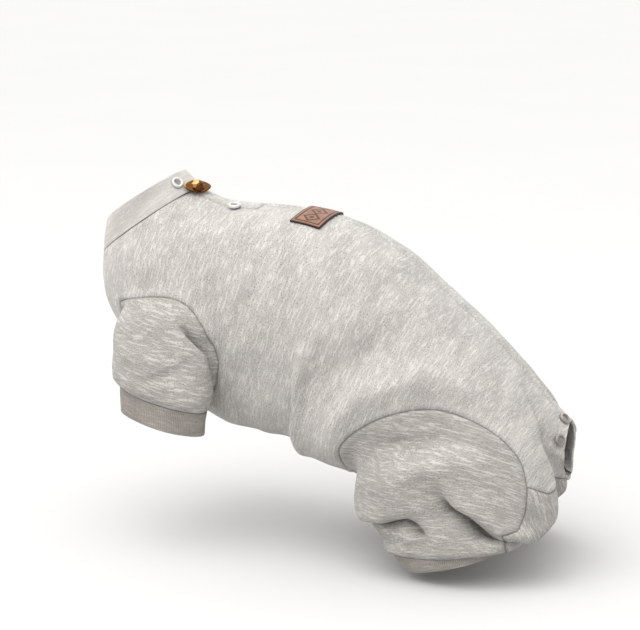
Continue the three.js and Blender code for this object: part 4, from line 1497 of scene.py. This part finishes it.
PLACKET = {"from": PLACKET_FRONT, "to": place_after(PLACKET_FRONT, PLACKET_SIZE[0])}
PLACKET["right"] = -PLACKET_PAST
PLACKET["left"] = turn_across(PLACKET["to"], PLACKET_SIZE[1]) - PLACKET_PAST
placket = slab(
    "placket_cloth", PLACKET, PLACKET_SIZE, FLEECE, "fleece",
    thick=2.1, rounding=2.0, gap=-0.9, settling=10, shade_and_burn_from=0.8,
)
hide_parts("back_placket")

PATCH = {"from": PATCH_FRONT, "to": place_after(PATCH_FRONT, PATCH_SIZE[0])}
PATCH["right"] = -turn_across(PATCH_FRONT, PATCH_SIZE[1] * (1 - PATCH_SHARE_LEFT))
PATCH["left"] = turn_across(PATCH_FRONT, PATCH_SIZE[1] * PATCH_SHARE_LEFT)
patch = slab(
    "patch_leather", PATCH, PATCH_SIZE, LEATHER, "leather",
    thick=1.6, rounding=0.5, gap=0.5, settling=60, shade_and_burn_from=0,
)
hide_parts("leather_patch")

# Each snap's table, place, turn, gap to the cloth, spin and material. The charm hangs OVER_PLACKET.
ON_CLOTH, ON_PLACKET, OVER_PLACKET = 0.4, 1.5, 4.1
SNAPS = {
    "snap_collar": (COLLAR, 1.02, 0.49, COLLAR_LIFT + ON_CLOTH, 0.4, PEARL),
    "snap_placket": (TRUNK, 2.2, 0.265, ON_PLACKET, 1.3, PEARL),
    # The tail snaps take the darker copy of the pearl plastic: painted shade.
    "snap_tail_top": (TRUNK, 12.6, 0.26, ON_CLOTH, 2.2, SHADED_PEARL),
    "snap_tail_left": (TRUNK, 12.66, 1.05, ON_CLOTH, 0.9, SHADED_PEARL),
    "snap_tail_right": (TRUNK, 12.66, -1.05, ON_CLOTH, 3.0, SHADED_PEARL),
}
for snap, values in SNAPS.items():
    ring_snap(snap, *values)
charm_piece(TRUNK, 0.2, 0.24, OVER_PLACKET)
back_stitches()

# ---- floor, light and camera ----
FLOOR_LEVEL, FLOOR_HALF = -0.2596, 30
FLOOR_CORNERS = FLOOR_HALF * np.array([(-1, -1, 0), (1, -1, 0), (1, 1, 0), (-1, 1, 0)])
floor_mesh = bpy.data.meshes.new("floor")
floor_mesh.from_pydata(FLOOR_CORNERS.tolist(), [], [(0, 1, 2, 3)])
floor_mesh.materials.append(FLOOR)
floor = bpy.data.objects.new("floor", floor_mesh)
floor.location.z = FLOOR_LEVEL
bpy.context.scene.collection.objects.link(floor)

SKY_AT_FLOOR, SKY_OVERHEAD = 1.04, 1.55  # the white room's glow, low down and straight above
SKY_SLOPE = (-0.3, 0.15, 0)  # how much brighter the room is towards the wearer's head
WINDOW_WAY, WINDOW_GLOW, WINDOW_FOCUS = (-0.1, -0.6, 0.79), 1.7, 3.0  # a broad bright patch
LAMP_SPOT, LAMP_AIM, LAMP_SIZE, LAMP_WATTS = (-0.35, -0.6, 1.8), (0.08, 0, -0.1), 1.6, 16
CAMERA_SPOT, CAMERA_AIM, FIELD_OF_VIEW = (0.5994, -1.478, 0.2526), (0.0615, 0, -0.0817), 17.4


def light_room():
    """A white room, brighter overhead, towards one side and round a broad window."""
    world = bpy.data.worlds.new("studio")
    bpy.context.scene.world = world
    world.use_nodes = True
    nodes = Nodes(world.node_tree)
    toward = nodes.add("ShaderNodeTexCoord").outputs["Generated"]
    up = nodes.add("ShaderNodeSeparateXYZ", {0: toward}).outputs[2]
    put = {"Value": up, 3: SKY_AT_FLOOR, 4: SKY_OVERHEAD}
    glow = nodes.add("ShaderNodeMapRange", put).outputs[0]
    window = nodes.vector("DOT_PRODUCT", toward, WINDOW_WAY)["Value"]
    window = nodes.math("POWER", nodes.math("MAXIMUM", window, 0.0), WINDOW_FOCUS)
    glow = nodes.math("MULTIPLY_ADD", window, WINDOW_GLOW, glow)
    slope = nodes.vector("DOT_PRODUCT", toward, SKY_SLOPE)["Value"]
    glow = nodes.math("MAXIMUM", nodes.math("ADD", glow, slope), 0.05)
    background = world.node_tree.nodes["Background"]
    nodes.put(background.inputs["Color"], (1.0, 1.0, 1.0, 1))
    nodes.put(background.inputs["Strength"], glow)


def aimed(name, data, spot, aim):
    """A lamp or camera that looks from one spot at another."""
    made = bpy.data.objects.new(name, data)
    made.location = spot
    made.rotation_euler = (Vector(aim) - Vector(spot)).to_track_quat("-Z", "Y").to_euler()
    bpy.context.scene.collection.objects.link(made)
    return made


light_room()
softbox = bpy.data.lights.new("softbox", "AREA")
softbox.size, softbox.energy = LAMP_SIZE, LAMP_WATTS
aimed("softbox", softbox, LAMP_SPOT, LAMP_AIM)
view = bpy.data.cameras.new("camera")
view.sensor_width, view.clip_end = 36, 200
view.lens = view.sensor_width / 2 / math.tan(math.radians(FIELD_OF_VIEW / 2))
bpy.context.scene.camera = aimed("camera", view, CAMERA_SPOT, CAMERA_AIM)
bpy.context.scene.view_settings.view_transform = "Standard"
